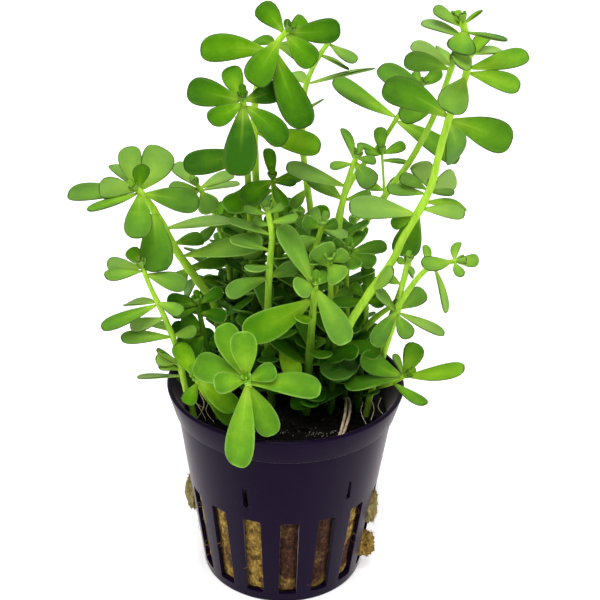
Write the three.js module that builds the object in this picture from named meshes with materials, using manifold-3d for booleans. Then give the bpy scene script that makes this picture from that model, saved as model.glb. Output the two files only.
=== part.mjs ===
// Potted water hyssop: a slotted net pot, the rockwool plug that fills it, and the shoots rooted in the plug.
// Millimetres, +Z up, +X to the right as seen from the front, -Y towards the viewer.
// The origin is the middle of the pot's underside.

import * as THREE from 'three';
import { mergeVertices } from 'three/addons/utils/BufferGeometryUtils.js';
import Module from 'manifold-3d';

const wasm = await Module();
wasm.setup();

// Pot
const POT_HEIGHT = 50;
const RIM_RADIUS = 27.5;
const COLLAR_FOOT_HEIGHT = 43.3;
const COLLAR_FOOT_RADIUS = 25.2;
const COLLAR_STEP = 0.7;
const BASE_RADIUS = 19.3;
const WALL = 1.1;
const FLOOR_THICKNESS = 1.6;
const POT_SIDES = 32;

// Openings in the pot
const SLOT_COUNT = 16;
const SLOT_WIDTH = 4.2;
const SLOT_BOTTOM = 2.6;
const SLOT_TOP = 25;
const SLOT_FIRST_ANGLE = 4.6;
const SLIT_COUNT = 6;
const SLIT_WIDTH = 1.1;
const SLIT_BOTTOM = 29.5;
const SLIT_TOP = 34;
const SLIT_FIRST_ANGLE = -20.5;
const DRAIN_COUNT = 8;
const DRAIN_INNER = 6;
const DRAIN_OUTER = 14.5;
const DRAIN_WIDTH = 2.4;
const CUTTER_OVERRUN = 1;

// Plug. A tuft is given by the slot it bulges from, its height, how far it stands out, and its size.
const CLEARANCE = 0.3;
const PLUG_TOP = 44;
const PLUG_BEVEL = 1.2;
const PLUG_SIDES = 24;
const TUFT_NECK = 3.4;
const TUFT_ROOT = 4;
const TUFT_SIDES = 6;
const TUFTS = [
  { slot: -4, height: 18.7, reach: 2.2, width: 5.2, tall: 11 },
  { slot: 3, height: 19.5, reach: 1.8, width: 5, tall: 10 },
  { slot: 3, height: 7.5, reach: 2.6, width: 5.6, tall: 7 },
];

// Dead root
const ROOT_WIDTH = 1.2;
const ROOT_THICKNESS = 0.5;
const ROOT_ARCH = [
  [12.4, -17, PLUG_TOP + 0.6],
  [13.3, -14.6, PLUG_TOP + 1.9],
  [14.1, -11, PLUG_TOP + 3],
  [14.4, -7, PLUG_TOP + 3.1],
  [14.4, -3, PLUG_TOP + 2.3],
  [14.2, 0.5, PLUG_TOP + 0.6],
];

// Stems. The tip's and the bud's thickness are shares of the foot's.
const STEM_THICKNESS = 2;
const STEM_SIDES = 5;
const TIP_THICKNESS = 0.62;
const BUD_LENGTH = 1.1;
const BUD_THICKNESS = 0.35;
const STEM_FOOT_HEIGHT = PLUG_TOP + CLEARANCE;

// Leaves. The outlines are half widths along the leaf, as shares of its greatest half width.
const LEAF_OUTLINE = [[0, 0.08], [0.45, 0.66], [0.8, 1], [1, 0.42]];
const SMALL_LEAF_OUTLINE = [[0, 0.08], [0.6, 1], [1, 0.36]];
const SMALL_LEAF_LENGTH = 8;
const LEAF_SLENDERNESS = 0.46;
const LEAF_THICKNESS = 1;
const LEAF_EDGE_THICKNESS = 0.35;
const KEEL_SHARE = 0.8;
const LEAF_ARCH = 0.02;
const LEAF_START = 0.24;

// Corners of a finished mesh nearer to each other than this are made one.
const HAIR = 0.004;

// The view that the shoots' places are read in: a picture 600 pixels square, taken from the front and above.
const PICTURE_MIDDLE = 300;
const FOCAL_PIXELS = 1300;
const VIEW_DISTANCE = 293;
const VIEW_PITCH = THREE.MathUtils.degToRad(26.85);
const VIEW_ROLL = THREE.MathUtils.degToRad(1.38);
const VIEW_TARGET = new THREE.Vector3(2.86, 0, 70.4);

const UPRIGHT = new THREE.Vector3(0, 0, 1);
const sight = new THREE.Vector3(0, Math.cos(VIEW_PITCH), -Math.sin(VIEW_PITCH));
const pictureRight = new THREE.Vector3(1, 0, 0).applyAxisAngle(sight, -VIEW_ROLL);
const pictureUp = new THREE.Vector3().crossVectors(pictureRight, sight);
const eye = VIEW_TARGET.clone().addScaledVector(sight, -VIEW_DISTANCE);

// The point seen at a pixel, on the upright plane y = depth.
function spot(column, row, depth) {
  const ray = sight.clone()
    .addScaledVector(pictureRight, (column - PICTURE_MIDDLE) / FOCAL_PIXELS)
    .addScaledVector(pictureUp, (PICTURE_MIDDLE - row) / FOCAL_PIXELS);
  return ray.multiplyScalar((depth - eye.y) / ray.y).add(eye);
}

// A closed geometry as a solid for joining and cutting.
function solid(geometry) {
  const shape = geometry.clone();
  shape.deleteAttribute('normal');
  shape.deleteAttribute('uv');
  const merged = mergeVertices(shape, 1e-4);
  return new wasm.Manifold(new wasm.Mesh({
    numProp: 3,
    vertProperties: new Float32Array(merged.attributes.position.array),
    triVerts: new Uint32Array(merged.index.array),
  }));
}

// A named mesh of a finished solid, without the slivers between corners that are made one.
function piece(name, body, material) {
  const { vertProperties, triVerts } = body.getMesh();
  const cut = new THREE.BufferGeometry();
  cut.setAttribute('position', new THREE.BufferAttribute(vertProperties, 3));
  cut.setIndex(new THREE.BufferAttribute(triVerts, 1));
  const geometry = mergeVertices(cut, HAIR);
  const corners = Array.from(geometry.index.array);
  const faces = [];
  for (let first = 0; first < corners.length; first += 3) {
    const face = corners.slice(first, first + 3);
    if (new Set(face).size === 3) {
      faces.push(...face);
    }
  }
  geometry.setIndex(faces);
  geometry.computeVertexNormals();
  const mesh = new THREE.Mesh(geometry, material);
  mesh.name = name;
  return mesh;
}

// A closed skin over a row of rings with equally many points, flat at both ends.
function skin(rings) {
  const sides = rings[0].length;
  const positions = rings.flat().flatMap((point) => point.toArray());
  const faces = [];
  for (let ring = 0; ring + 1 < rings.length; ring += 1) {
    for (let side = 0; side < sides; side += 1) {
      const a = ring * sides + side;
      const b = ring * sides + (side + 1) % sides;
      faces.push(a, b, b + sides, a, b + sides, a + sides);
    }
  }
  const last = (rings.length - 1) * sides;
  for (let side = 1; side + 1 < sides; side += 1) {
    faces.push(0, side + 1, side);
    faces.push(last, last + side, last + side + 1);
  }
  const geometry = new THREE.BufferGeometry();
  geometry.setAttribute('position', new THREE.Float32BufferAttribute(positions, 3));
  geometry.setIndex(faces);
  return geometry;
}

// Pot

function turned(profile, sides) {
  const points = profile.map(([radius, height]) => new THREE.Vector2(radius, height));
  return new THREE.LatheGeometry(points, sides).rotateX(Math.PI / 2);
}

function wallRadius(height) {
  return BASE_RADIUS + (COLLAR_FOOT_RADIUS - BASE_RADIUS) * height / COLLAR_FOOT_HEIGHT;
}

// A box that reaches outwards through the wall, turned to its place round the pot.
function radialCutter(width, bottom, top, inner, outer, angle) {
  const box = new THREE.BoxGeometry(width, outer - inner, top - bottom);
  box.translate(0, -(inner + outer) / 2, (bottom + top) / 2);
  return solid(box.rotateZ(THREE.MathUtils.degToRad(angle)));
}

function makePot(material) {
  let pot = solid(turned([
    [0, 0],
    [BASE_RADIUS, 0],
    [COLLAR_FOOT_RADIUS, COLLAR_FOOT_HEIGHT],
    [COLLAR_FOOT_RADIUS + COLLAR_STEP, COLLAR_FOOT_HEIGHT + COLLAR_STEP / 2],
    [RIM_RADIUS, POT_HEIGHT],
    [RIM_RADIUS - WALL, POT_HEIGHT],
    [COLLAR_FOOT_RADIUS - WALL, COLLAR_FOOT_HEIGHT],
    [wallRadius(FLOOR_THICKNESS) - WALL, FLOOR_THICKNESS],
    [0, FLOOR_THICKNESS],
  ], POT_SIDES));
  for (let slot = 0; slot < SLOT_COUNT; slot += 1) {
    const angle = SLOT_FIRST_ANGLE + slot * 360 / SLOT_COUNT;
    pot = pot.subtract(radialCutter(SLOT_WIDTH, SLOT_BOTTOM, SLOT_TOP, DRAIN_OUTER, RIM_RADIUS, angle));
  }
  for (let slit = 0; slit < SLIT_COUNT; slit += 1) {
    const angle = SLIT_FIRST_ANGLE + slit * 360 / SLIT_COUNT;
    pot = pot.subtract(radialCutter(SLIT_WIDTH, SLIT_BOTTOM, SLIT_TOP, BASE_RADIUS, RIM_RADIUS, angle));
  }
  for (let drain = 0; drain < DRAIN_COUNT; drain += 1) {
    const angle = drain * 360 / DRAIN_COUNT;
    const top = FLOOR_THICKNESS + CUTTER_OVERRUN;
    pot = pot.subtract(radialCutter(DRAIN_WIDTH, -CUTTER_OVERRUN, top, DRAIN_INNER, DRAIN_OUTER, angle));
  }
  return piece('net_pot', pot, material);
}

// Rockwool plug, with tufts that bulge out through slots

// An oval ring that stands across a slot, at a distance from the pot's middle.
function slotRing(distance, height, width, tall) {
  return Array.from({ length: TUFT_SIDES }, (_, side) => {
    const turn = (side + 0.5) * 2 * Math.PI / TUFT_SIDES;
    return new THREE.Vector3(width / 2 * Math.cos(turn), -distance, height + tall / 2 * Math.sin(turn));
  });
}

function tuft({ slot, height, reach, width, tall }) {
  const outside = wallRadius(height) + CLEARANCE;
  const neckTall = tall * 0.8;
  const lump = skin([
    slotRing(outside - TUFT_ROOT, height, TUFT_NECK, neckTall),
    slotRing(outside, height, TUFT_NECK, neckTall),
    slotRing(outside + reach * 0.3, height, width, tall),
    slotRing(outside + reach, height, width / 2, tall / 2),
  ]);
  const angle = SLOT_FIRST_ANGLE + slot * 360 / SLOT_COUNT;
  return solid(lump).rotate([0, 0, angle]);
}

function makePlug(material) {
  const gap = WALL + CLEARANCE;
  let plug = solid(turned([
    [0, FLOOR_THICKNESS + CLEARANCE],
    [wallRadius(FLOOR_THICKNESS + CLEARANCE) - gap, FLOOR_THICKNESS + CLEARANCE],
    [COLLAR_FOOT_RADIUS - gap, COLLAR_FOOT_HEIGHT],
    [COLLAR_FOOT_RADIUS - gap - PLUG_BEVEL, PLUG_TOP],
    [0, PLUG_TOP],
  ], PLUG_SIDES));
  for (const place of TUFTS) {
    plug = plug.add(tuft(place));
  }
  return piece('rockwool_plug', plug, material);
}

// Dead root: a flat withered strap that arches over the front right of the plug

function makeDeadRoot(material) {
  const rings = ROOT_ARCH.map(([x, y, z]) => [
    new THREE.Vector3(x + ROOT_WIDTH / 2, y, z - ROOT_THICKNESS / 2),
    new THREE.Vector3(x - ROOT_WIDTH / 2, y, z - ROOT_THICKNESS / 2),
    new THREE.Vector3(x - ROOT_WIDTH / 2, y - ROOT_THICKNESS / 2, z + ROOT_THICKNESS / 2),
    new THREE.Vector3(x + ROOT_WIDTH / 2, y - ROOT_THICKNESS / 2, z + ROOT_THICKNESS / 2),
  ]);
  return piece('dead_root', solid(skin(rings)), material);
}

// Stems and leaves

// The rings of a stem that narrows from its foot to its tip and ends in a bud.
function stemRings(points, footThickness) {
  const [beforeLast, last] = points.slice(-2);
  const bud = last.clone().addScaledVector(last.clone().sub(beforeLast).normalize(), BUD_LENGTH);
  const line = [...points, bud];
  return line.map((point, index) => {
    const before = line[Math.max(index - 1, 0)];
    const after = line[Math.min(index + 1, line.length - 1)];
    const along = index === 0 ? UPRIGHT : after.clone().sub(before).normalize();
    const across = new THREE.Vector3().crossVectors(along, sight).normalize();
    const outwards = new THREE.Vector3().crossVectors(across, along);
    const share = index / (points.length - 1);
    const narrowing = point === bud ? BUD_THICKNESS : THREE.MathUtils.lerp(1, TIP_THICKNESS, share);
    const radius = narrowing * footThickness / 2;
    return Array.from({ length: STEM_SIDES }, (_, side) => {
      const turn = side * 2 * Math.PI / STEM_SIDES;
      return point.clone()
        .addScaledVector(across, radius * Math.cos(turn))
        .addScaledVector(outwards, -radius * Math.sin(turn));
    });
  });
}

// The place on a stem's picture line that lies nearest to a pixel.
function nearestOnStem(stem, column, row) {
  let nearest = null;
  let shortest = Infinity;
  for (let index = 0; index + 1 < stem.length; index += 1) {
    const [fromColumn, fromRow, fromDepth] = stem[index];
    const [toColumn, toRow, toDepth] = stem[index + 1];
    const runColumn = toColumn - fromColumn;
    const runRow = toRow - fromRow;
    const reached = (column - fromColumn) * runColumn + (row - fromRow) * runRow;
    const share = THREE.MathUtils.clamp(reached / (runColumn ** 2 + runRow ** 2), 0, 1);
    const place = [fromColumn + share * runColumn, fromRow + share * runRow];
    const distance = Math.hypot(column - place[0], row - place[1]);
    if (distance < shortest) {
      shortest = distance;
      nearest = [...place, fromDepth + share * (toDepth - fromDepth)];
    }
  }
  return nearest;
}

// A leaf is flat on top and keeled below. Its blade is turned about its length, face up, until it
// shows the width that is seen.
function leaf(foot, tip, seenWidth) {
  const reach = tip.clone().sub(foot);
  const length = reach.length();
  const along = reach.clone().normalize();
  const middle = foot.clone().lerp(tip, 0.5);
  const line = middle.clone().sub(eye).normalize();
  const seenSide = new THREE.Vector3().crossVectors(line, along).normalize();
  const seenFace = new THREE.Vector3().crossVectors(seenSide, along);
  const width = Math.max(seenWidth, LEAF_SLENDERNESS * length);
  const turn = Math.acos(seenWidth / width);
  const tilt = seenSide.z > 0 ? -Math.sin(turn) : Math.sin(turn);
  const side = seenSide.clone().multiplyScalar(Math.cos(turn)).addScaledVector(seenFace, tilt);
  const face = new THREE.Vector3().crossVectors(side, along);
  const outline = length < SMALL_LEAF_LENGTH ? SMALL_LEAF_OUTLINE : LEAF_OUTLINE;
  const rings = outline.map(([share, spread]) => {
    const rise = LEAF_ARCH * length * 4 * share * (1 - share);
    const centre = foot.clone().lerp(tip, share).addScaledVector(face, rise);
    const half = spread * width / 2;
    const thickness = LEAF_THICKNESS * THREE.MathUtils.lerp(LEAF_EDGE_THICKNESS, 1, spread);
    const blade = centre.clone().addScaledVector(face, thickness * (1 - KEEL_SHARE));
    return [
      blade.clone().addScaledVector(side, -half),
      blade.clone().addScaledVector(side, half),
      centre.clone().addScaledVector(face, -thickness * KEEL_SHARE),
    ];
  });
  return skin(rings);
}

// A shoot's stem is a row of picture places, [column, row, depth], from the plug to the tip, and its
// branches are rows that start on the stem. A leaf is [foot column, foot row, tip column, tip row, seen
// width in pixels, how much nearer than its foot its tip is in mm], and grows from the nearest stem.
function makeShoot(name, { thickness = STEM_THICKNESS, stem, leaves, branches = [] }, material) {
  const stems = [stem, ...branches];
  let shoot = null;
  for (const line of stems) {
    const points = line.map((place) => spot(...place));
    if (line === stem) {
      points[0].z = STEM_FOOT_HEIGHT;
    }
    const part = solid(skin(stemRings(points, thickness)));
    shoot = shoot ? shoot.add(part) : part;
  }
  for (const [footColumn, footRow, tipColumn, tipRow, seenPixels, nearer = 0] of leaves) {
    const places = stems.map((line) => nearestOnStem(line, footColumn, footRow));
    const gaps = places.map(([column, row]) => Math.hypot(column - footColumn, row - footRow));
    const place = places[gaps.indexOf(Math.min(...gaps))];
    const tip = spot(tipColumn, tipRow, place[2] - nearer);
    const heart = spot(...place);
    const foot = heart.clone().lerp(tip, LEAF_START * thickness / heart.distanceTo(tip));
    const seenWidth = seenPixels * foot.distanceTo(eye) / FOCAL_PIXELS;
    shoot = shoot.add(solid(leaf(foot, tip, seenWidth)));
  }
  return piece(name, shoot, material);
}

const shoots = {
  crown_shoot: {
    thickness: 1.9,
    stem: [
      [263, 381, 9], [263, 300, 10], [259, 230, 9], [256, 180, 5], [254, 130, 1], [256, 92, 0],
      [262, 68, -1], [273, 48, -2], [286, 32, -3],
    ],
    leaves: [
      [284, 33, 257, 5, 17, -2],
      [281, 40, 252, 84, 30, 8],
      [270, 51, 200, 50, 28, 3],
      [274, 48, 304, 128, 31, 7],
      [286, 34, 314, 64, 19, 6],
      [286, 33, 341, 29, 25, -2],
      [286, 33, 299, 16, 14, -6],
      [286, 33, 288, 19, 6, 0],
      [277, 45, 254, 40, 12, -9],
      [277, 45, 303, 53, 15, -11],
      [254, 133, 320, 152, 25, 2],
      [254, 153, 183, 166, 25, 1],
      [254, 130, 244, 118, 14, -12],
      [258, 210, 265, 197, 14, -12],
    ],
  },
  high_rosette_shoot: {
    thickness: 1.9,
    stem: [
      [256, 404, -2], [256, 340, 2.5], [253, 260, 4.5], [250, 205, 4], [248, 180, 1.5],
      [246, 150, -4], [245, 125, -8], [243, 101, -10],
    ],
    leaves: [
      [240, 100, 187, 92, 28, 0],
      [240, 103, 210, 122, 18, 7],
      [242, 100, 231, 66, 20, -7],
      [244, 100, 280, 92, 13, -6],
      [244, 103, 240, 176, 34, 9],
      [245, 104, 285, 143, 26, 6],
    ],
  },
  tall_back_shoot: {
    thickness: 1.7,
    stem: [
      [322, 374, 9], [317, 300, 10], [311, 215, 10], [307, 185, 10], [303, 150, 10], [303, 110, 10],
      [307, 82, 9], [318, 58, 9], [328, 43, 9],
    ],
    leaves: [
      [328, 43, 357, 61, 11, 2],
      [322, 55, 348, 68, 4, -4],
      [308, 83, 375, 67, 6, -4],
      [308, 83, 290, 72, 12, -12],
      [303, 112, 318, 102, 8, -13],
      [303, 150, 290, 140, 12, -13],
      [311, 222, 330, 226, 12, -12],
      [306, 188, 291, 207, 11, 4],
    ],
  },
  middle_shoot: {
    thickness: 1.7,
    stem: [[330, 384, 5], [334, 300, 2], [338, 238, 0], [343, 200, -1], [350, 174, -2], [356, 158, -3]],
    leaves: [
      [355, 160, 343, 128, 9, -5],
      [356, 158, 376, 160, 9, -3],
      [354, 164, 330, 167, 8, 2],
      [356, 162, 374, 185, 19, 6],
      [347, 186, 286, 166, 18, 1],
      [343, 200, 308, 172, 20, -6],
      [343, 200, 371, 193, 9, 0],
    ],
  },
  far_rosette_shoot: {
    thickness: 0.9,
    stem: [
      [352, 374, 12], [350, 330, 13], [347, 280, 13], [356, 240, 14], [370, 219, 14],
      [382, 203, 14], [384, 190, 14], [382, 154, 14],
    ],
    leaves: [
      [382, 154, 380, 127, 12, -4],
      [382, 154, 405, 144, 10, -3],
      [382, 154, 357, 144, 5, -1],
      [382, 154, 366, 153, 6, 4],
      [384, 160, 409, 162, 4, -4],
      [384, 190, 401, 178, 9, -3],
      [384, 190, 366, 184, 9, -5],
    ],
  },
  right_shoot: {
    thickness: 2.1,
    stem: [
      [328, 398, -1], [338, 352, -3.6], [346, 332, -9.8], [353, 318, -12], [371, 291, -13],
      [393, 260, -10], [403, 238, -9.5], [424, 202, -9], [433, 180, -9], [438, 158, -9],
      [449, 118, -9], [459, 96, -9], [466, 75, -9], [469, 50, -9], [463, 24, -9],
    ],
    leaves: [
      [463, 28, 434, 7, 11, -2],
      [463, 24, 482, 10, 3, -2],
      [463, 24, 453, 11, 3, -4],
      [466, 38, 421, 23, 15, -2],
      [468, 31, 507, 38, 4, 4],
      [468, 33, 463, 50, 24, 8],
      [468, 60, 488, 33, 13, -5],
      [469, 54, 501, 48, 9, -6],
      [468, 49, 461, 66, 22, 9],
      [467, 68, 529, 54, 21, -2],
      [467, 72, 520, 88, 20, 4],
      [466, 76, 450, 112, 31, 9],
      [449, 119, 383, 88, 30, 3],
      [450, 120, 512, 144, 33, 1],
      [449, 121, 456, 160, 26, -10],
      [415, 212, 349, 207, 24, 4],
      [419, 208, 465, 215, 16, 3],
      [418, 211, 402, 257, 30, -7],
      [424, 202, 464, 206, 8, -8],
      [414, 214, 391, 225, 12, 0],
      [371, 291, 393, 269, 13, 3],
    ],
  },
  right_back_shoot: {
    thickness: 1.9,
    stem: [
      [340, 380, 7], [334, 350, 7], [332, 300, 7], [338, 265, 7], [350, 240, 7], [366, 221, 7],
      [382, 200, 6], [398, 178, 5], [410, 161, 4], [421, 142, 3], [433, 118, 2], [444, 90, 0],
      [452, 66, -1],
    ],
    leaves: [
      [450, 66, 411, 44, 15, -2],
      [449, 70, 404, 61, 19, 1],
      [440, 104, 379, 68, 23, -6],
      [436, 106, 399, 120, 18, 1],
      [452, 66, 442, 48, 12, -11],
      [419, 145, 427, 152, 12, -9],
      [390, 188, 404, 184, 10, -10],
    ],
  },
  right_young_shoot: {
    thickness: 1.5,
    stem: [
      [326, 368, 13], [328, 310, 13], [331, 262, 13], [336, 228, 14], [342, 203, 15],
      [350, 184, 16], [359, 170, 17], [368, 159, 18], [377, 148, 19], [387, 134, 19],
      [397, 118, 18], [408, 101, 17], [420, 86, 16],
    ],
    leaves: [
      [395, 119, 332, 84, 17, -2],
      [394, 119, 459, 161, 23, 4],
      [420, 86, 415, 71, 8, -3],
      [420, 87, 441, 70, 12, 0],
      [418, 88, 399, 68, 5, -3],
    ],
  },
  right_rosette_shoot: {
    thickness: 1.6,
    stem: [
      [370, 379, 8], [390, 320, 6], [402, 286, 4], [409, 262, 3], [413, 240, 2], [419, 212, 1],
      [429, 188, 0],
    ],
    leaves: [
      [429, 188, 418, 162, 20, -6],
      [429, 190, 456, 176, 22, -6],
      [429, 192, 454, 193, 6, 3],
      [428, 190, 400, 177, 12, 1],
      [427, 194, 387, 189, 12, 2],
    ],
  },
  right_low_shoot: {
    thickness: 1.5,
    stem: [[366, 408, -5.5], [385, 350, -9.5], [398, 310, -12], [402, 285, -14], [407, 264, -14]],
    branches: [[[398, 306, -12.5], [413, 284, -15], [430, 267, -16], [455, 261, -16]]],
    leaves: [
      [454, 261, 422, 264, 14, 4],
      [454, 261, 458, 242, 9, -5],
      [454, 261, 479, 260, 12, 0],
      [454, 261, 462, 276, 9, 5],
      [428, 268, 426, 245, 8, -4],
      [436, 270, 447, 313, 7, 3],
      [407, 266, 414, 276, 7, -3],
      [407, 265, 398, 259, 7, 1],
      [402, 285, 386, 276, 9, -1],
      [400, 310, 425, 291, 17, -3],
      [399, 312, 445, 334, 12, 3],
      [398, 314, 411, 337, 15, 7],
      [398, 310, 374, 346, 18, 5],
      [398, 312, 377, 291, 11, 2],
    ],
  },
  rim_right_shoot: {
    thickness: 1.7,
    stem: [[354, 398, 0], [373, 388, -4], [390, 383, -8], [404, 376, -10]],
    leaves: [
      [404, 376, 416, 343, 19, -3],
      [405, 377, 465, 368, 18, 3],
      [403, 377, 346, 387, 16, 6],
      [403, 376, 362, 355, 22, 3],
      [396, 390, 425, 405, 9, 9],
      [404, 376, 394, 354, 6, -2],
    ],
  },
  centre_shoot: {
    thickness: 1.8,
    stem: [[272, 402, -2], [268, 340, -6], [268, 300, -9], [270, 260, -11], [272, 235, -12], [268, 213, -12]],
    leaves: [
      [271, 222, 298, 218, 8, 3],
      [271, 226, 253, 219, 8, -2],
      [272, 235, 228, 219, 9, -2],
      [269, 214, 243, 208, 8, 1],
      [269, 213, 283, 205, 8, -4],
      [271, 250, 230, 240, 8, 2],
      [269, 277, 227, 295, 17, 6],
      [269, 277, 296, 266, 14, -6],
      [269, 266, 249, 270, 8, 9],
    ],
  },
  broad_leaf_shoot: {
    stem: [[306, 408, -5], [310, 350, -10], [313, 310, -13], [315, 286, -15]],
    leaves: [
      [309, 279, 280, 225, 22, -3],
      [313, 281, 297, 291, 22, 11],
      [316, 287, 346, 344, 26, 9],
      [306, 298, 244, 335, 32, 8],
      [316, 318, 299, 321, 13, 8],
      [315, 286, 327, 272, 12, -5],
    ],
  },
  round_leaf_shoot: {
    thickness: 1.7,
    stem: [[331, 405, -4], [333, 340, -7], [331, 300, -8], [330, 262, -10]],
    leaves: [
      [330, 268, 320, 245, 26, 1],
      [330, 264, 340, 281, 24, 9],
      [331, 262, 347, 252, 14, 1],
      [331, 300, 352, 292, 12, -4],
      [331, 300, 318, 306, 10, 4],
    ],
  },
  upper_middle_shoot: {
    thickness: 1.6,
    stem: [[306, 384, 4], [305, 320, 0], [310, 270, -3], [318, 240, -5], [322, 226, -6]],
    leaves: [
      [322, 228, 303, 220, 13, 1],
      [322, 228, 338, 222, 11, 1],
      [322, 226, 313, 208, 10, -5],
      [322, 228, 347, 236, 9, 3],
      [318, 238, 294, 246, 14, 4],
      [316, 244, 330, 250, 10, -5],
    ],
  },
  cross_shoot: {
    thickness: 1.7,
    stem: [[344, 390, 2], [346, 330, -1], [346, 290, -3], [348, 252, -4]],
    leaves: [
      [348, 250, 387, 246, 13, 0],
      [348, 254, 376, 262, 14, 5],
      [348, 252, 363, 231, 11, -5],
      [348, 252, 333, 240, 9, -1],
      [347, 258, 356, 268, 16, 9],
      [347, 284, 330, 280, 9, 3],
    ],
  },
  right_middle_shoot: {
    thickness: 1.6,
    stem: [[358, 406, -3], [362, 350, -3.5], [366, 318, -4.5], [366, 298, -6]],
    branches: [[[363, 330, -4], [375, 318, -6], [386, 310, -7.5], [391, 307, -8]]],
    leaves: [
      [366, 300, 334, 303, 13, 6],
      [366, 298, 367, 265, 13, -4],
      [366, 298, 352, 284, 10, 0],
      [366, 300, 385, 304, 11, 6],
      [363, 335, 348, 330, 11, 1.5],
      [363, 335, 379, 326, 10, -1],
      [359, 358, 326, 375, 21, 14],
    ],
  },
  front_rosette_shoot: {
    stem: [[256, 418, -12], [254, 404, -18], [250, 390, -25], [247, 380, -28]],
    leaves: [
      [246, 380, 222, 324, 27, -4],
      [247, 379, 242, 332, 27, 1],
      [246, 381, 214, 384, 20, 4],
      [248, 380, 276, 370, 18, 0],
      [248, 382, 321, 390, 26, 3],
      [247, 382, 236, 467, 29, 4],
      [248, 384, 272, 436, 26, 1],
      [246, 379, 194, 362, 31, -5],
    ],
  },
  left_shoot: {
    thickness: 2.2,
    stem: [
      [226, 384, 5], [222, 340, 3], [214, 303, 1], [205, 290, 0], [190, 270, -1], [175, 248, -3],
      [160, 220, -5], [147, 200, -7], [138, 190, -8],
    ],
    leaves: [
      [136, 191, 67, 193, 17, -1],
      [137, 190, 99, 189, 20, 3],
      [138, 192, 88, 207, 10, 8],
      [138, 190, 129, 146, 24, -5],
      [137, 190, 111, 164, 15, -9],
      [140, 191, 160, 146, 33, -6],
      [139, 190, 143, 165, 15, 1],
      [141, 193, 199, 202, 21, 4],
      [138, 193, 140, 238, 25, 10],
      [156, 222, 157, 272, 36, 10],
      [166, 226, 231, 220, 15, -2],
      [180, 256, 263, 241, 17, 0],
      [188, 268, 172, 286, 18, -4],
      [192, 272, 208, 261, 7, -9],
      [172, 244, 204, 238, 13, -5],
      [188, 266, 226, 260, 12, -3],
      [196, 279, 222, 281, 10, -4],
      [196, 279, 184, 298, 12, -6],
    ],
  },
  left_low_shoot: {
    thickness: 1.5,
    stem: [
      [194, 413, -8], [186, 390, -10], [177, 350, -12], [168, 325, -13], [158, 303, -14],
      [149, 284, -14], [143, 268, -14],
    ],
    leaves: [
      [143, 268, 129, 249, 14, -5],
      [143, 268, 107, 263, 14, 2],
      [143, 271, 105, 277, 10, 6],
      [146, 274, 187, 285, 20, 1],
      [144, 268, 168, 262, 13, -6],
      [155, 305, 101, 328, 15, 5],
      [155, 302, 125, 303, 10, -6],
      [156, 302, 181, 314, 12, 6],
      [174, 336, 121, 339, 14, 5],
      [163, 318, 130, 327, 12, 1],
      [170, 330, 152, 322, 9, -8],
      [172, 336, 196, 330, 12, 2],
      [180, 362, 156, 358, 13, 3],
      [182, 375, 137, 377, 4, 3],
    ],
  },
  left_upper_shoot: {
    thickness: 1.6,
    stem: [[285, 376, 9], [281, 300, 6], [277, 230, 5], [273, 180, 4]],
    leaves: [
      [273, 180, 268, 148, 12, -4],
      [273, 180, 303, 174, 12, -2],
      [273, 182, 295, 184, 6, 4],
      [273, 180, 243, 201, 23, 9],
      [273, 183, 283, 206, 12, 8],
      [274, 200, 292, 214, 12, -7],
      [275, 188, 224, 207, 22, 8.5],
    ],
  },
  left_middle_shoot: {
    thickness: 1.6,
    stem: [[236, 382, 7], [234, 320, 9], [228, 260, 10], [215, 215, 10], [198, 186, 10]],
    leaves: [
      [199, 188, 174, 164, 14, -4],
      [199, 188, 233, 173, 12, -6],
      [200, 190, 213, 211, 20, 6],
      [200, 190, 169, 188, 13, 2],
      [203, 189, 240, 183, 5, -2],
      [200, 190, 183, 199, 10, 4],
      [218, 224, 250, 193, 20, -4],
      [218, 224, 200, 240, 10, 4],
      [229, 262, 250, 252, 12, -6],
      [229, 262, 212, 250, 11, -6],
    ],
  },
  left_under_shoot: {
    thickness: 1.7,
    stem: [[216, 398, -2], [210, 360, -5], [203, 330, -7], [198, 304, -8]],
    leaves: [
      [198, 304, 167, 299, 12, 0],
      [198, 304, 165, 306, 8, 4],
      [198, 304, 222, 290, 12, -3],
      [199, 306, 174, 317, 11, 6],
      [200, 312, 226, 318, 13, 5],
      [204, 334, 192, 358, 13, 7],
      [206, 344, 222, 340, 12, 2],
      [204, 334, 172, 326, 14, 2],
      [205, 340, 177, 343, 12, 4],
      [203, 330, 182, 319, 17, 3],
      [206, 345, 190, 370, 15, 5],
    ],
  },
  rim_left_shoot: {
    thickness: 1.6,
    stem: [[220, 412, -8], [206, 396, -13], [196, 378, -17]],
    leaves: [
      [196, 380, 177, 343, 20, -3],
      [197, 380, 237, 409, 22, 3],
      [197, 382, 186, 404, 14, 3],
      [204, 394, 232, 424, 14, 4],
      [200, 386, 222, 372, 14, -5],
    ],
  },
  bundle_shoot: {
    thickness: 1.6,
    stem: [[294, 394, 0], [288, 370, -3], [280, 345, -5], [276, 330, -6]],
    leaves: [
      [277, 334, 262, 318, 13, -3],
      [278, 338, 296, 378, 20, 6],
      [277, 332, 286, 312, 11, -5],
      [286, 364, 303, 374, 11, 0],
      [279, 342, 264, 360, 12, 5],
    ],
  },
  inner_right_shoot: {
    thickness: 1.6,
    stem: [[318, 398, -2], [322, 372, -5], [328, 345, -8], [330, 332, -9]],
    leaves: [
      [329, 336, 342, 318, 9, -0.2],
      [324, 366, 350, 376, 14, 6],
      [328, 340, 284, 344, 26, -4],
      [326, 352, 358, 354, 15, 7],
    ],
  },
  back_left_shoot: {
    thickness: 1.8,
    stem: [[246, 360, 16], [240, 300, 20], [236, 250, 23], [236, 214, 24]],
    leaves: [
      [236, 216, 226, 238, 16, 8],
      [236, 214, 250, 200, 16, -6],
      [236, 214, 216, 206, 14, -6],
      [236, 214, 240, 200, 16, -13],
      [236, 250, 262, 262, 17, -4],
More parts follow.
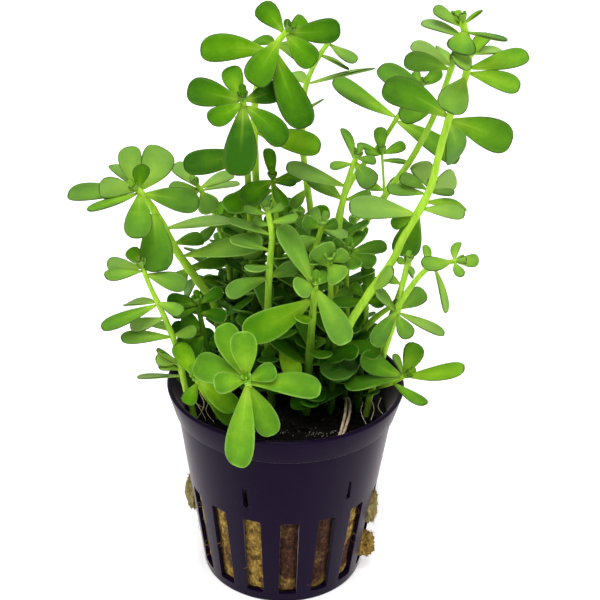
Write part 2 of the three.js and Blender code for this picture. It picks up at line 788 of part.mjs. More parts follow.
      [236, 250, 210, 256, 14, -5],
      [240, 296, 232, 286, 16, -13],
      [241, 304, 262, 316, 16, 3],
    ],
  },
  back_middle_shoot: {
    thickness: 1.8,
    stem: [[294, 357, 18], [296, 300, 22], [298, 250, 25], [300, 218, 26]],
    leaves: [
      [300, 218, 330, 212, 15, 0],
      [300, 218, 268, 203, 16, 2],
      [300, 218, 292, 204, 15, -12],
      [300, 220, 308, 240, 16, 8],
      [298, 256, 276, 266, 16, -3],
      [298, 256, 318, 260, 16, -6],
      [296, 300, 290, 290, 17, -14],
      [296, 304, 312, 322, 16, 6],
    ],
  },
  back_right_shoot: {
    thickness: 1.8,
    stem: [[334, 358, 17], [340, 300, 22], [346, 256, 26], [352, 226, 28]],
    leaves: [
      [352, 226, 366, 236, 15, 2],
      [352, 226, 336, 222, 14, -4],
      [352, 226, 358, 212, 14, -12],
      [347, 258, 330, 262, 16, -4],
      [347, 258, 362, 262, 14, -8],
      [341, 296, 336, 284, 16, -14],
      [341, 300, 356, 316, 15, 4],
    ],
  },
  back_low_shoot: {
    thickness: 1.7,
    stem: [[272, 353, 20], [266, 320, 25], [262, 292, 30], [262, 276, 33]],
    leaves: [
      [262, 276, 244, 276, 16, -2],
      [262, 276, 280, 280, 16, -2],
      [262, 276, 260, 266, 15, -12],
      [262, 278, 266, 298, 15, 6],
      [264, 308, 246, 310, 15, -7],
      [264, 308, 284, 314, 15, -5],
    ],
  },
};

const colour = (hex, roughness) => new THREE.MeshStandardMaterial({ color: hex, roughness, metalness: 0 });

const plant = new THREE.Group();
plant.add(makePot(colour(0x2c2447, 0.35)));
plant.add(makePlug(colour(0x7d6a3c, 0.95)));
plant.add(makeDeadRoot(colour(0xa08c72, 0.8)));
const leafGreen = colour(0x5f9a33, 0.5);
for (const [name, shoot] of Object.entries(shoots)) {
  plant.add(makeShoot(name, shoot, leafGreen));
}

export default plant;
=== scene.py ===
import math
import random

import bmesh
import bpy
from mathutils import Matrix, Vector, noise


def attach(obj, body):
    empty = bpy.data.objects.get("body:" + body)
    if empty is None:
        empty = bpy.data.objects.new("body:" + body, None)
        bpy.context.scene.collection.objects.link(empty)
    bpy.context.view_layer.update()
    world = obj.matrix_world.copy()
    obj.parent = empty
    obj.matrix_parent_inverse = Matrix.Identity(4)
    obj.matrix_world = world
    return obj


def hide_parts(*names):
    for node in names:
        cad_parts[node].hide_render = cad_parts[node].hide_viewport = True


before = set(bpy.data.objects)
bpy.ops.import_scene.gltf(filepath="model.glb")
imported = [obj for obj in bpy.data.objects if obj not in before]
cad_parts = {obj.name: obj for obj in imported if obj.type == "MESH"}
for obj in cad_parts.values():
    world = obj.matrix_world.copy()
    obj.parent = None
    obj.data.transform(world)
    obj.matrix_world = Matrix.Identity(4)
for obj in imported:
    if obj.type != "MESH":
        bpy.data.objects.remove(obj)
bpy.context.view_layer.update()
MM = 0.001


# Camera. It stands in front of the pot and looks down on the plant, as in the photograph, whose frame
# is 600 pixels square. A pixel with a distance from front to back gives a place on the plant.

PICTURE_MIDDLE = 300
FOCAL_PIXELS = 1300
SENSOR_MM = 36
VIEW_DISTANCE = 293 * MM
VIEW_PITCH = math.radians(26.85)
VIEW_ROLL = math.radians(1.38)
VIEW_TARGET = Vector((2.86, 0, 70.4)) * MM
NEAREST_SEEN = 10 * MM

sight = Vector((0, math.cos(VIEW_PITCH), -math.sin(VIEW_PITCH)))
picture_right = Matrix.Rotation(-VIEW_ROLL, 3, sight) @ Vector((1, 0, 0))
picture_up = picture_right.cross(sight)
eye = VIEW_TARGET - VIEW_DISTANCE * sight

bpy.ops.object.select_all(action="DESELECT")
bpy.ops.object.camera_add()
camera = bpy.context.object
camera.name = "camera"
camera.data.sensor_width = SENSOR_MM
camera.data.lens = SENSOR_MM * FOCAL_PIXELS / (2 * PICTURE_MIDDLE)
camera.data.clip_start = NEAREST_SEEN
stance = Matrix((picture_right, picture_up, -sight)).transposed().to_4x4()
camera.matrix_world = Matrix.Translation(eye) @ stance
bpy.context.scene.camera = camera


def spot(column, row, depth):
    """The point seen at a pixel of the picture, that many mm behind the middle of the pot."""
    ray = sight + picture_right * ((column - PICTURE_MIDDLE) / FOCAL_PIXELS)
    ray += picture_up * ((PICTURE_MIDDLE - row) / FOCAL_PIXELS)
    return eye + ray * ((depth * MM - eye.y) / ray.y)


# Studio. The pot stands on a sheet of pale card that glows a little, as a light table does, under a
# large soft lamp, with weaker lamps at both sides and the back, and white walls all round.

FLOOR_RADIUS = 3.0
FLOOR_SIDES = 64
FLOOR_WHITE = 0.93
FLOOR_FLECK = FLOOR_WHITE * 1.02
FLOOR_GLOW = 0.25
WALL_LIGHT = 0.34
WHITE = (1.0, 1.0, 1.0, 1.0)
# Each lamp has its name, its place and width in metres, and its power in watts.
LAMPS = [
    ("key_lamp", (-0.08, -0.5, 1.25), 0.9, 15.0),
    ("fill_lamp", (0.8, -0.6, 0.6), 0.5, 1.2),
    ("back_lamp", (0.2, 0.7, 0.9), 0.6, 4.5),
    ("left_lamp", (-1.0, -0.2, 0.3), 0.6, 3.6),
    ("right_lamp", (1.0, -0.2, 0.3), 0.6, 2.8),
]


class Shade:
    """One socket among a material's nodes. Sums written with it add Math nodes."""

    def __init__(self, tree, socket=None):
        self.tree = tree
        self.socket = socket

    def add(self, kind, settings=None, values=None, output=0):
        """Adds a node: its settings first, then the values or links of its sockets."""
        node = self.tree.nodes.new("ShaderNode" + kind)
        for name, setting in (settings or {}).items():
            if name == "stops":
                ramp = node.color_ramp
                while len(ramp.elements) < len(setting):
                    ramp.elements.new(1.0)
                for element, (place, colour) in zip(ramp.elements, setting):
                    element.position = place
                    element.color = (*colour, 1.0)
            else:
                setattr(node, name, setting)
        for name, value in (values or {}).items():
            if isinstance(value, Shade):
                self.tree.links.new(value.socket, node.inputs[name])
            else:
                node.inputs[name].default_value = value
        return Shade(self.tree, node.outputs[output] if node.outputs else None)

    def sum(self, operation, first, second=0.0):
        """One step of arithmetic on two values."""
        return self.add("Math", {"operation": operation}, {0: first, 1: second})

    def mix(self, share, first, second):
        """Two colours mixed by a share of the second."""
        colours = [c if isinstance(c, Shade) else (*c, 1.0) for c in (first, second)]
        return self.add("Mix", {"data_type": "RGBA"}, {0: share, 6: colours[0], 7: colours[1]}, output=2)

    def step(self, low, high):
        """Rises smoothly from 0 at low to 1 at high, or falls if low is the greater."""
        ends = {1: low, 2: high, 3: 0.0, 4: 1.0} if low < high else {1: high, 2: low, 3: 1.0, 4: 0.0}
        return self.add("MapRange", {"interpolation_type": "SMOOTHSTEP"}, {0: self, **ends})

    def grain(self, size, detail=3.0, roughness=0.6):
        """Cloudy noise from 0 to 1 over the place, with lumps of a size in mm."""
        values = {"Vector": self, "Scale": 1 / (size * MM), "Detail": detail, "Roughness": roughness}
        return self.add("TexNoise", values=values)

    def scaled(self, *scale):
        """A place with its three numbers scaled, which draws a pattern out where the scale is small."""
        return self.add("Mapping", {"vector_type": "POINT"}, {"Vector": self, "Scale": scale})

    def bump(self, strength, distance):
        """The slopes of a rough skin whose height this is."""
        return self.add("Bump", values={"Strength": strength, "Distance": distance, "Height": self})

    def parts(self):
        """The three numbers of a vector."""
        return [self.add("SeparateXYZ", values={0: self}, output=axis) for axis in range(3)]

    def __add__(self, other):
        return self.sum("ADD", self, other)

    def __radd__(self, other):
        return self.sum("ADD", other, self)

    def __sub__(self, other):
        return self.sum("SUBTRACT", self, other)

    def __rsub__(self, other):
        return self.sum("SUBTRACT", other, self)

    def __mul__(self, other):
        return self.sum("MULTIPLY", self, other)

    def __rmul__(self, other):
        return self.sum("MULTIPLY", other, self)

    def __abs__(self):
        return self.sum("ABSOLUTE", self)


def new_material(name):
    """A bare material: gives it, its Principled shader, a Shade to add nodes with and the place."""
    material = bpy.data.materials.new(name)
    material.use_nodes = True
    shade = Shade(material.node_tree)
    return material, material.node_tree.nodes["Principled BSDF"], shade, shade.add("TexCoord", output=3)


def feed(shader, **sockets):
    """Links or sets the shader's sockets, with an underscore for each space in their names."""
    for name, value in sockets.items():
        socket = shader.inputs[name.replace("_", " ")]
        if isinstance(value, Shade):
            value.tree.links.new(value.socket, socket)
        else:
            socket.default_value = value


def coat(piece, material):
    """Gives a piece one material all over."""
    piece.data.materials.clear()
    piece.data.materials.append(material)


world = bpy.data.worlds.new("white_walls")
world.use_nodes = True
world.node_tree.nodes["Background"].inputs["Color"].default_value = WHITE
world.node_tree.nodes["Background"].inputs["Strength"].default_value = WALL_LIGHT
bpy.context.scene.world = world
bpy.context.scene.view_settings.view_transform = "Standard"

for name, place, size, power in LAMPS:
    bpy.ops.object.light_add(type="AREA", location=place)
    lamp = bpy.context.object
    lamp.name = name
    lamp.data.shape = "DISK"
    lamp.data.size = size
    lamp.data.energy = power
    lamp.rotation_euler = (VIEW_TARGET - Vector(place)).to_track_quat("-Z", "Y").to_euler()

bpy.ops.mesh.primitive_circle_add(vertices=FLOOR_SIDES, radius=FLOOR_RADIUS, fill_type="NGON")
floor = bpy.context.object
floor.name = "floor"
card, shader, shade, place = new_material("pale_card")
feed(
    shader, Base_Color=shade.mix(place.grain(30), [FLOOR_WHITE] * 3, [FLOOR_FLECK] * 3), Roughness=0.8,
    Emission_Color=WHITE, Emission_Strength=FLOOR_GLOW,
)
coat(floor, card)


# Net pot. One moulded piece of thin dark purple plastic, with a flared collar, tall slots round its
# lower half, a few small slits above them and drain slots in its floor.

POT_HEIGHT = 50 * MM
RIM_RADIUS = 27.5 * MM
COLLAR_FOOT_HEIGHT = 43.3 * MM
COLLAR_FOOT_RADIUS = 25.2 * MM
COLLAR_STEP = 0.7 * MM
BASE_RADIUS = 19.3 * MM
POT_WALL = 1.1 * MM
FLOOR_THICKNESS = 1.6 * MM
LIP = 0.3 * MM
SLOT_COUNT = 16
SLOT_WIDTH = 4.2 * MM
SLOT_BOTTOM = 2.6 * MM
SLOT_TOP = 25 * MM
SLOT_FIRST_ANGLE = 4.6
SLOT_CORNER = 0.5 * MM
SLIT_COUNT = 6
SLIT_WIDTH = 1.2 * MM
SLIT_BOTTOM = 29.3 * MM
SLIT_TOP = 34.2 * MM
SLIT_FIRST_ANGLE = -20.5
SLIT_TAPER = 0.45
DRAIN_COUNT = 8
DRAIN_INNER = 6 * MM
DRAIN_OUTER = 14.5 * MM
DRAIN_WIDTH = 2.4 * MM
POT_COLUMNS = 8 * SLOT_COUNT
POT_EDGE = 0.1 * MM
SHARP_ANGLE = math.radians(35)
WELD_DISTANCE = 0.001 * MM
POT_PURPLE = (0.0045, 0.0012, 0.012)
POT_VIOLET = (0.008, 0.0025, 0.017)
POT_SCUFF = (0.10, 0.09, 0.13)
SCUFF_SHARE = 0.10
SPECK_SHARE = 0.25
POT_GLOSS = 0.04
POT_SHEEN = 0.38
POT_SHEEN_TINT = (1.0, 0.84, 0.86, 1.0)


def pick(kind, test):
    """In edit mode, selects the vertices, edges or faces that pass a test, and nothing else."""
    mesh = bmesh.from_edit_mesh(bpy.context.object.data)
    bpy.ops.mesh.select_mode(type={"verts": "VERT", "edges": "EDGE", "faces": "FACE"}[kind])
    bpy.ops.mesh.select_all(action="DESELECT")
    for part in getattr(mesh, kind):
        if test(part):
            part.select_set(True)
    bmesh.update_edit_mesh(bpy.context.object.data)


def turn_profile(name, profile, sides):
    """Draws a line of (radius, height) points and spins it into a closed solid."""
    bpy.ops.object.select_all(action="DESELECT")
    bpy.ops.mesh.primitive_plane_add(size=MM)
    piece = bpy.context.object
    piece.name = name
    bpy.ops.object.mode_set(mode="EDIT")
    bpy.ops.mesh.select_mode(type="VERT")
    bpy.ops.mesh.merge(type="CENTER")
    bpy.ops.transform.translate(value=(profile[0][0], 0, profile[0][1]))
    for (radius, height), (next_radius, next_height) in zip(profile, profile[1:]):
        step = (next_radius - radius, 0, next_height - height)
        bpy.ops.mesh.extrude_vertices_move(TRANSFORM_OT_translate={"value": step})
    bpy.ops.mesh.select_all(action="SELECT")
    bpy.ops.mesh.spin(steps=sides, angle=2 * math.pi, center=(0, 0, 0), axis=(0, 0, 1))
    bpy.ops.mesh.select_all(action="SELECT")
    bpy.ops.mesh.remove_doubles(threshold=WELD_DISTANCE)
    bpy.ops.mesh.normals_make_consistent(inside=False)
    bpy.ops.object.mode_set(mode="OBJECT")
    return piece


def radial_cutter(width, bottom, top, inner, outer):
    """A block that reaches out through the wall at the front of the pot."""
    middle = (0, -(inner + outer) / 2, (bottom + top) / 2)
    bpy.ops.object.select_all(action="DESELECT")
    bpy.ops.mesh.primitive_cube_add(size=1, location=middle, scale=(width, outer - inner, top - bottom))
    bpy.ops.object.transform_apply(location=True, rotation=True, scale=True)
    return bpy.context.object


def take_up(pieces):
    """Selects the pieces and nothing else, with the first one as the one to work on."""
    bpy.ops.object.select_all(action="DESELECT")
    for piece in pieces:
        piece.select_set(True)
    bpy.context.view_layer.objects.active = pieces[0]


def join(pieces):
    """Makes the pieces one, under the first one's name."""
    take_up(pieces)
    bpy.ops.object.join()
    return pieces[0]


def copy_of(piece):
    """A copy with a mesh of its own."""
    copy = piece.copy()
    copy.data = piece.data.copy()
    bpy.context.collection.objects.link(copy)
    return copy


def repeat_round(piece, count, first_angle):
    """Copies of a piece, evenly round the pot, as one."""
    ring = []
    for index in range(count):
        copy = copy_of(piece)
        angle = math.radians(first_angle + index * 360 / count)
        copy.data.transform(Matrix.Rotation(angle, 4, "Z"))
        ring.append(copy)
    bpy.data.objects.remove(piece)
    return join(ring)


def apply_modifier(piece, kind, **settings):
    """Puts a modifier on a piece and applies it."""
    take_up([piece])
    modifier = piece.modifiers.new(kind.lower(), kind)
    for name, value in settings.items():
        setattr(modifier, name, value)
    bpy.ops.object.modifier_apply(modifier=modifier.name)


def wall_radius(height):
    """The radius of the outside of the pot's wall, below its collar."""
    return BASE_RADIUS + (COLLAR_FOOT_RADIUS - BASE_RADIUS) * height / COLLAR_FOOT_HEIGHT


pot = turn_profile("pot", [
    (0, 0),
    (BASE_RADIUS - LIP, 0),
    (BASE_RADIUS, LIP),
    (wall_radius(SLIT_BOTTOM - MM), SLIT_BOTTOM - MM),
    (wall_radius(SLIT_TOP + MM), SLIT_TOP + MM),
    (COLLAR_FOOT_RADIUS, COLLAR_FOOT_HEIGHT),
    (COLLAR_FOOT_RADIUS + COLLAR_STEP, COLLAR_FOOT_HEIGHT + COLLAR_STEP / 2),
    (RIM_RADIUS, POT_HEIGHT - 2 * LIP),
    (RIM_RADIUS, POT_HEIGHT - LIP),
    (RIM_RADIUS - LIP, POT_HEIGHT),
    (RIM_RADIUS - POT_WALL + LIP, POT_HEIGHT),
    (RIM_RADIUS - POT_WALL, POT_HEIGHT - LIP),
    (COLLAR_FOOT_RADIUS - POT_WALL, COLLAR_FOOT_HEIGHT),
    (wall_radius(FLOOR_THICKNESS) - POT_WALL, FLOOR_THICKNESS),
    (0, FLOOR_THICKNESS),
], POT_COLUMNS)
half_column = 180 / POT_COLUMNS
pot.data.transform(Matrix.Rotation(math.radians(SLOT_FIRST_ANGLE - 90 + half_column), 4, "Z"))

slots = radial_cutter(SLOT_WIDTH, SLOT_BOTTOM, SLOT_TOP, DRAIN_OUTER, RIM_RADIUS)
bpy.ops.object.mode_set(mode="EDIT")
pick("edges", lambda edge: abs(edge.verts[0].co.y - edge.verts[1].co.y) > MM)
bpy.ops.mesh.bevel(offset=SLOT_CORNER, segments=3, affect="EDGES")
bpy.ops.object.mode_set(mode="OBJECT")
slits = radial_cutter(SLIT_WIDTH, SLIT_BOTTOM, SLIT_TOP, BASE_RADIUS, RIM_RADIUS)
bpy.ops.object.mode_set(mode="EDIT")
pick("faces", lambda face: face.normal.z > 0.5)
bpy.ops.transform.resize(value=(SLIT_TAPER, 1, 1), center_override=(0, 0, SLIT_TOP))
bpy.ops.object.mode_set(mode="OBJECT")
drains = radial_cutter(DRAIN_WIDTH, -MM, FLOOR_THICKNESS + MM, DRAIN_INNER, DRAIN_OUTER)
openings = join([
    repeat_round(slots, SLOT_COUNT, SLOT_FIRST_ANGLE),
    repeat_round(slits, SLIT_COUNT, SLIT_FIRST_ANGLE),
    repeat_round(drains, DRAIN_COUNT, 0),
])
apply_modifier(pot, "BOOLEAN", operation="DIFFERENCE", object=openings, solver="EXACT")
bpy.data.objects.remove(openings)
bpy.ops.object.shade_smooth_by_angle(angle=SHARP_ANGLE)
apply_modifier(
    pot, "BEVEL", width=POT_EDGE, segments=2, limit_method="ANGLE", angle_limit=SHARP_ANGLE,
    use_clamp_overlap=False, harden_normals=True,
)

plastic, shader, shade, place = new_material("dark_purple_plastic")
cloud = place.grain(14, detail=2)
scuff = place.grain(2.2, detail=6, roughness=0.75).step(0.6, 0.78)
speck = place.grain(0.5, detail=2).step(0.72, 0.78)
tint = shade.mix(cloud, POT_PURPLE, POT_VIOLET)
tint = shade.mix(scuff * SCUFF_SHARE + speck * SPECK_SHARE, tint, POT_SCUFF)
feed(
    shader, Base_Color=tint, Roughness=0.26 + 0.16 * cloud + 0.2 * scuff,
    Normal=(place.grain(1.6, detail=5) + 0.4 * cloud).bump(0.12, 0.1 * MM),
    Specular_IOR_Level=POT_GLOSS, Sheen_Weight=POT_SHEEN, Sheen_Roughness=0.28,
    Sheen_Tint=POT_SHEEN_TINT,
)
coat(pot, plastic)
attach(pot, "root")
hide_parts("net_pot")


# Rockwool plug. One block of matted mineral fibre, yellow-brown where the slots show it and nearly
# black with wet grit on top. It swells a little into the slots, with lumps and loose fibres outside.

CLEARANCE = 0.3 * MM
PLUG_FLOOR = FLOOR_THICKNESS + CLEARANCE
PLUG_TOP = 43.8 * MM
PLUG_BEVEL = 1.2 * MM
PLUG_SIDES = 144
PLUG_STEP = 0.9 * MM
SLOT_SWELL = 0.75 * MM
SLOT_SWELL_EDGE = 1.2 * MM
ROUGHNESS_LUMP = 2.4 * MM
ROUGHNESS_FINE = 0.9 * MM
ROUGHNESS_IN_SLOT = 0.7 * MM
SIDE_SINK = 0.25 * MM
TOP_CRUMB = 1.3 * MM
TOP_CRUMB_HEIGHT = 0.9 * MM
TOP_SINK = 0.2 * MM
# Slots are counted from the front, to the right in the picture. The sizes of a lump are in mm.
TUFTS = [
    {"slot": -4, "height": 19, "reach": 1.0, "width": 4.6, "tall": 10},
    {"slot": 3, "height": 19.5, "reach": 0.8, "width": 4.4, "tall": 10},
    {"slot": 3, "height": 8, "reach": 2.2, "width": 5.0, "tall": 7.4},
]
TUFT_NECK = 0.72
TUFT_ROOTED = 0.3 * POT_WALL
# The size of the noise on a tuft, how high it is, and its seed.
TUFT_LUMPS = [(0.6, 0.18, 0), (0.25, 0.16, 9), (0.1, 0.1, 5), (0.05, 0.07, 2)]
FIBRE_THICKNESS = 0.11 * MM
FIBRE_TAPER = 0.4
FIBRE_STEPS = 5
FIBRE_DRIFT = 0.8
FIBRE_LIFT = 0.7
FIBRE_CURL = 0.35
FIBRE_DROOP = 0.2
FIBRE_ROOTED = 0.6 * MM
FIBRE_SPREAD = 0.07
FIBRES_PER_SLOT = 7
SLOT_FIBRE_LENGTH = (1.5, 3)
FIBRES_PER_TUFT = 60
TUFT_FIBRE_LENGTH = (1.2, 2.8)
TUFT_FIBRE_RISE = 0.45
TUFT_FIBRE_ACROSS = 0.4
TUFT_FIBRE_REACH = 0.85
TUFT_FALL = 2.6
ROCKWOOL_OCHRE = (0.22, 0.125, 0.026)
ROCKWOOL_STRAW = (0.50, 0.34, 0.075)
ROCKWOOL_BROWN = (0.030, 0.011, 0.008)
ROCKWOOL_RUST = (0.115, 0.048, 0.024)
ROCKWOOL_PIT_SHADE = (0.018, 0.009, 0.006)
ROCKWOOL_OLIVE = (0.30, 0.265, 0.115)
NEAR_BLACK = (0.0035, 0.003, 0.0025)
GRIT_BROWN = (0.009, 0.0055, 0.0035)
WOOL_GLOSS = 0.12
# From where to where on the plug a colour comes in: across to the right, up, or back from the middle.
BROWN_ACROSS = (-5 * MM, MM)
CLEAN_FOOT = (9 * MM, 4 * MM)
CLEAN_CORNER_ACROSS = (12 * MM, 14 * MM)
CLEAN_CORNER_HEIGHT = (8 * MM, 15 * MM)
CLEAN_SIDE = (17.5 * MM, 19.5 * MM)
OLIVE_INSET = (-4.5 * MM, -2 * MM)
OLIVE_DEPTH = (1.5 * MM, -0.5 * MM)
OLIVE_HEIGHT = (11 * MM, 14 * MM)
BLACK_HEIGHT = (SLOT_TOP + MM, SLIT_BOTTOM)
WET_HEIGHT = (PLUG_TOP - 4 * MM, PLUG_TOP - 1.5 * MM)

side_height = PLUG_TOP - PLUG_BEVEL - PLUG_FLOOR
side_steps = round(side_height / PLUG_STEP)
profile = [(0, PLUG_FLOOR)]
for step in range(side_steps + 1):
    height = PLUG_FLOOR + side_height * step / side_steps
    profile.append((wall_radius(height) - POT_WALL - CLEARANCE, height))
top_radius = profile[-1][0] - PLUG_BEVEL
top_steps = round(top_radius / PLUG_STEP)
for step in range(top_steps + 1):
    profile.append((top_radius * (1 - step / top_steps), PLUG_TOP))
plug = turn_profile("plug", profile, PLUG_SIDES)


def bump_at(point, size, seed):
    """Smooth noise from -1 to 1, with lumps of a size."""
    return noise.noise(point / size + Vector((seed, seed, seed)))


def in_slot(point):
    """How far inside a slot's opening a place on the plug's side is, from 0 at its edge to 1."""
    turn = math.degrees(math.atan2(point.y, point.x)) + 90 - SLOT_FIRST_ANGLE
    pitch = 360 / SLOT_COUNT
    offset = abs((turn + pitch / 2) % pitch - pitch / 2)
    across = math.radians(offset) * math.hypot(point.x, point.y)
    inside = min(SLOT_WIDTH / 2 - across, point.z - SLOT_BOTTOM, SLOT_TOP - point.z)
    return min(max(inside / SLOT_SWELL_EDGE, 0), 1)


for vertex in plug.data.vertices:
    point = vertex.co.copy()
    lump = bump_at(point, ROUGHNESS_LUMP, 3) + 0.6 * bump_at(point, ROUGHNESS_FINE, 7)
    radius = math.hypot(point.x, point.y)
    if point.z > PLUG_TOP - PLUG_BEVEL / 2 and radius < top_radius + PLUG_BEVEL / 2:
        crumb = bump_at(point, TOP_CRUMB, 11) + 0.5 * bump_at(point, ROUGHNESS_FINE, 5)
        vertex.co.z += TOP_CRUMB_HEIGHT * crumb - TOP_SINK
    elif radius > BASE_RADIUS / 2:
        outwards = Vector((point.x, point.y, 0)).normalized()
        swell = in_slot(point) * (SLOT_SWELL + ROUGHNESS_IN_SLOT * lump) - SIDE_SINK * (1 + lump)
        vertex.co += outwards * swell


def make_tuft(slot, height, reach, width, tall):
    """A lump of rockwool that has swollen out through a slot."""
    bpy.ops.object.select_all(action="DESELECT")
    bpy.ops.mesh.primitive_ico_sphere_add(subdivisions=6, radius=1)
    tuft = bpy.context.object
    outside = wall_radius(height * MM)
    depth = reach * MM + POT_WALL
    for vertex in tuft.data.vertices:
        point = vertex.co.copy()
        neck = TUFT_NECK if point.y > -0.1 else 1
        shape = 1 + sum(rise * bump_at(point, size, slot + seed) for size, rise, seed in TUFT_LUMPS)
        vertex.co = Vector((
            point.x * neck * shape * width / 2 * MM,
            point.y * shape * depth - outside + TUFT_ROOTED,
            point.z * shape * tall / 2 * MM + height * MM,
        ))
    angle = math.radians(SLOT_FIRST_ANGLE + slot * 360 / SLOT_COUNT)
    tuft.data.transform(Matrix.Rotation(angle, 4, "Z"))
    return tuft


def tube(name, points, thicknesses, sides):
    """A closed round tube through the points, as thick at each as is said."""
    curve = bpy.data.curves.new(name, "CURVE")
    curve.dimensions = "3D"
    curve.bevel_depth = 0.5
    curve.bevel_resolution = sides // 2 - 2
    curve.use_fill_caps = True
    spline = curve.splines.new("POLY")
    spline.points.add(len(points) - 1)
    for knot, point, thickness in zip(spline.points, points, thicknesses):
        knot.co = (*point, 1)
        knot.radius = thickness
    strand = bpy.data.objects.new(name, curve)
    bpy.context.collection.objects.link(strand)
    take_up([strand])
    bpy.ops.object.convert(target="MESH")
    return bpy.context.object


chance = random.Random(21)


def make_fibre(start, outwards, length):
    """A loose fibre that leaves the rockwool, curls and droops."""
    sideways = outwards.cross(Vector((0, 0, 1))).normalized()
    drift = chance.uniform(-FIBRE_DRIFT, FIBRE_DRIFT)
    lift = chance.uniform(-FIBRE_LIFT, FIBRE_LIFT)
    points = []
    sizes = []
    for step in range(FIBRE_STEPS + 1):
        share = step / FIBRE_STEPS
        curl = math.sin(share * math.pi)
        point = start + outwards * length * (FIBRE_CURL * curl + 0.1 * share)
        point += sideways * length * (drift * share + 0.1 * curl)
        point.z += length * (lift * share - FIBRE_DROOP * share * share)
        points.append(point)
        sizes.append(FIBRE_THICKNESS * (1 - FIBRE_TAPER * share))
    return tube("fibre", points, sizes, sides=4)


def out_of_slot(slot, stray=0.0):
    """The level way out of the pot at the middle of a slot, or at an angle beside it."""
    angle = math.radians(SLOT_FIRST_ANGLE + slot * 360 / SLOT_COUNT - 90) + stray
    return Vector((math.cos(angle), math.sin(angle), 0))


tufts = [make_tuft(**tuft) for tuft in TUFTS]
fibres = []
for slot in range(SLOT_COUNT):
    for count in range(FIBRES_PER_SLOT):
        outwards = out_of_slot(slot, chance.uniform(-FIBRE_SPREAD, FIBRE_SPREAD))
        height = chance.uniform(SLOT_BOTTOM + MM, SLOT_TOP - MM)
        start = outwards * (wall_radius(height) - FIBRE_ROOTED) + Vector((0, 0, height))
        fibres.append(make_fibre(start, outwards, chance.uniform(*SLOT_FIBRE_LENGTH) * MM))
for tuft in TUFTS:
    outwards = out_of_slot(tuft["slot"])
    sideways = Vector((-outwards.y, outwards.x, 0))
    for count in range(FIBRES_PER_TUFT):
        rise = chance.uniform(-TUFT_FIBRE_RISE, TUFT_FIBRE_RISE)
        reach = TUFT_FIBRE_REACH * tuft["reach"] * math.cos(rise * TUFT_FALL)
        start = outwards * (wall_radius(tuft["height"] * MM) + reach * MM)
        offset = chance.uniform(-TUFT_FIBRE_ACROSS, TUFT_FIBRE_ACROSS)
        start += sideways * offset * tuft["width"] * MM
        start.z = (tuft["height"] + rise * tuft["tall"]) * MM
        fibres.append(make_fibre(start, outwards, chance.uniform(*TUFT_FIBRE_LENGTH) * MM))
join([plug, *tufts, *fibres])
bpy.ops.object.shade_smooth()

rockwool, shader, shade, place = new_material("wet_rockwool")
across, depth, height = place.parts()
patch = place.grain(9)
strand = place.scaled(1, 1, 0.6).grain(0.8, detail=6, roughness=0.7)
fine = place.grain(0.5, detail=5, roughness=0.7)
clump = place.grain(2.2, detail=4, roughness=0.65)
ochre = shade.mix(strand.step(0.42, 0.66), ROCKWOOL_OCHRE, ROCKWOOL_STRAW)
brown = shade.mix(strand.step(0.4, 0.7), ROCKWOOL_BROWN, ROCKWOOL_RUST)
# Brown stains the wool right of the middle, and less of it low down and near the right side.
browned = 0.9 * patch + 0.35 * clump + 0.28 * across.step(*BROWN_ACROSS)
browned = browned - 0.2 * height.step(*CLEAN_FOOT)
browned = browned - 0.3 * across.step(*CLEAN_CORNER_ACROSS) * height.step(*CLEAN_CORNER_HEIGHT)
stained = (browned - 0.5 * across.step(*CLEAN_SIDE)).step(0.66, 0.86)
wool = shade.mix(stained, ochre, brown)
# The hollows between the clumps are painted dark, as painted shade.
pit_shade = (clump + 0.25 * strand + 0.05 * stained).step(0.66, 0.46)
wool = shade.mix(pit_shade * 0.75, wool, ROCKWOOL_PIT_SHADE)
# The wool is olive high up at both sides of the front, where the two upper lumps are.
olive = (abs(across) - wall_radius(20 * MM)).step(*OLIVE_INSET) * depth.step(*OLIVE_DEPTH)
olive = olive * (height + (clump - 0.5) * 12 * MM).step(*OLIVE_HEIGHT)
wool = shade.mix(olive * (0.9 - 0.4 * strand.step(0.6, 0.42)), wool, ROCKWOOL_OLIVE)
# Above the slots, where only the narrow slits show it, the wool is near black.
wool = shade.mix(height.step(*BLACK_HEIGHT) * 0.97, wool, NEAR_BLACK)
wet = height.step(*WET_HEIGHT)
grit = place.grain(0.9, detail=4, roughness=0.7).step(0.5, 0.68)
soil = shade.mix(grit, NEAR_BLACK, GRIT_BROWN)
feed(
    shader, Base_Color=shade.mix(wet, wool, soil), Roughness=0.85 - 0.25 * wet * grit,
    Normal=(strand + 0.7 * fine + clump).bump(0.8, 0.5 * MM), Specular_IOR_Level=WOOL_GLOSS,
)
coat(plug, rockwool)
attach(plug, "root")
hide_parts("rockwool_plug")


# Grit on the plug. Loose crumbs of dark soil all over its wet top, and grains of pale sand, most of
# them in a band along the front, where the light catches them.

CRUMB_COUNT = 420
CRUMB_SIZE = (0.5, 1.3)
PALE_COUNT = 110
PALE_SIZE = (0.16, 0.36)
FRONT_SHARE = 0.75
FRONT_ACROSS = (-9, 13)
FRONT_BACK = (-15.4, -13.2)
TOP_SHARE = 0.97
CRUMB_LIFT = 0.35 * MM
CRUMB_FOLLOW = 0.7 * MM
CRUMB_ROUGHNESS = 0.5
GRIT_PALE = (0.22, 0.20, 0.16)
GRIT_DARK = (0.005, 0.004, 0.003)


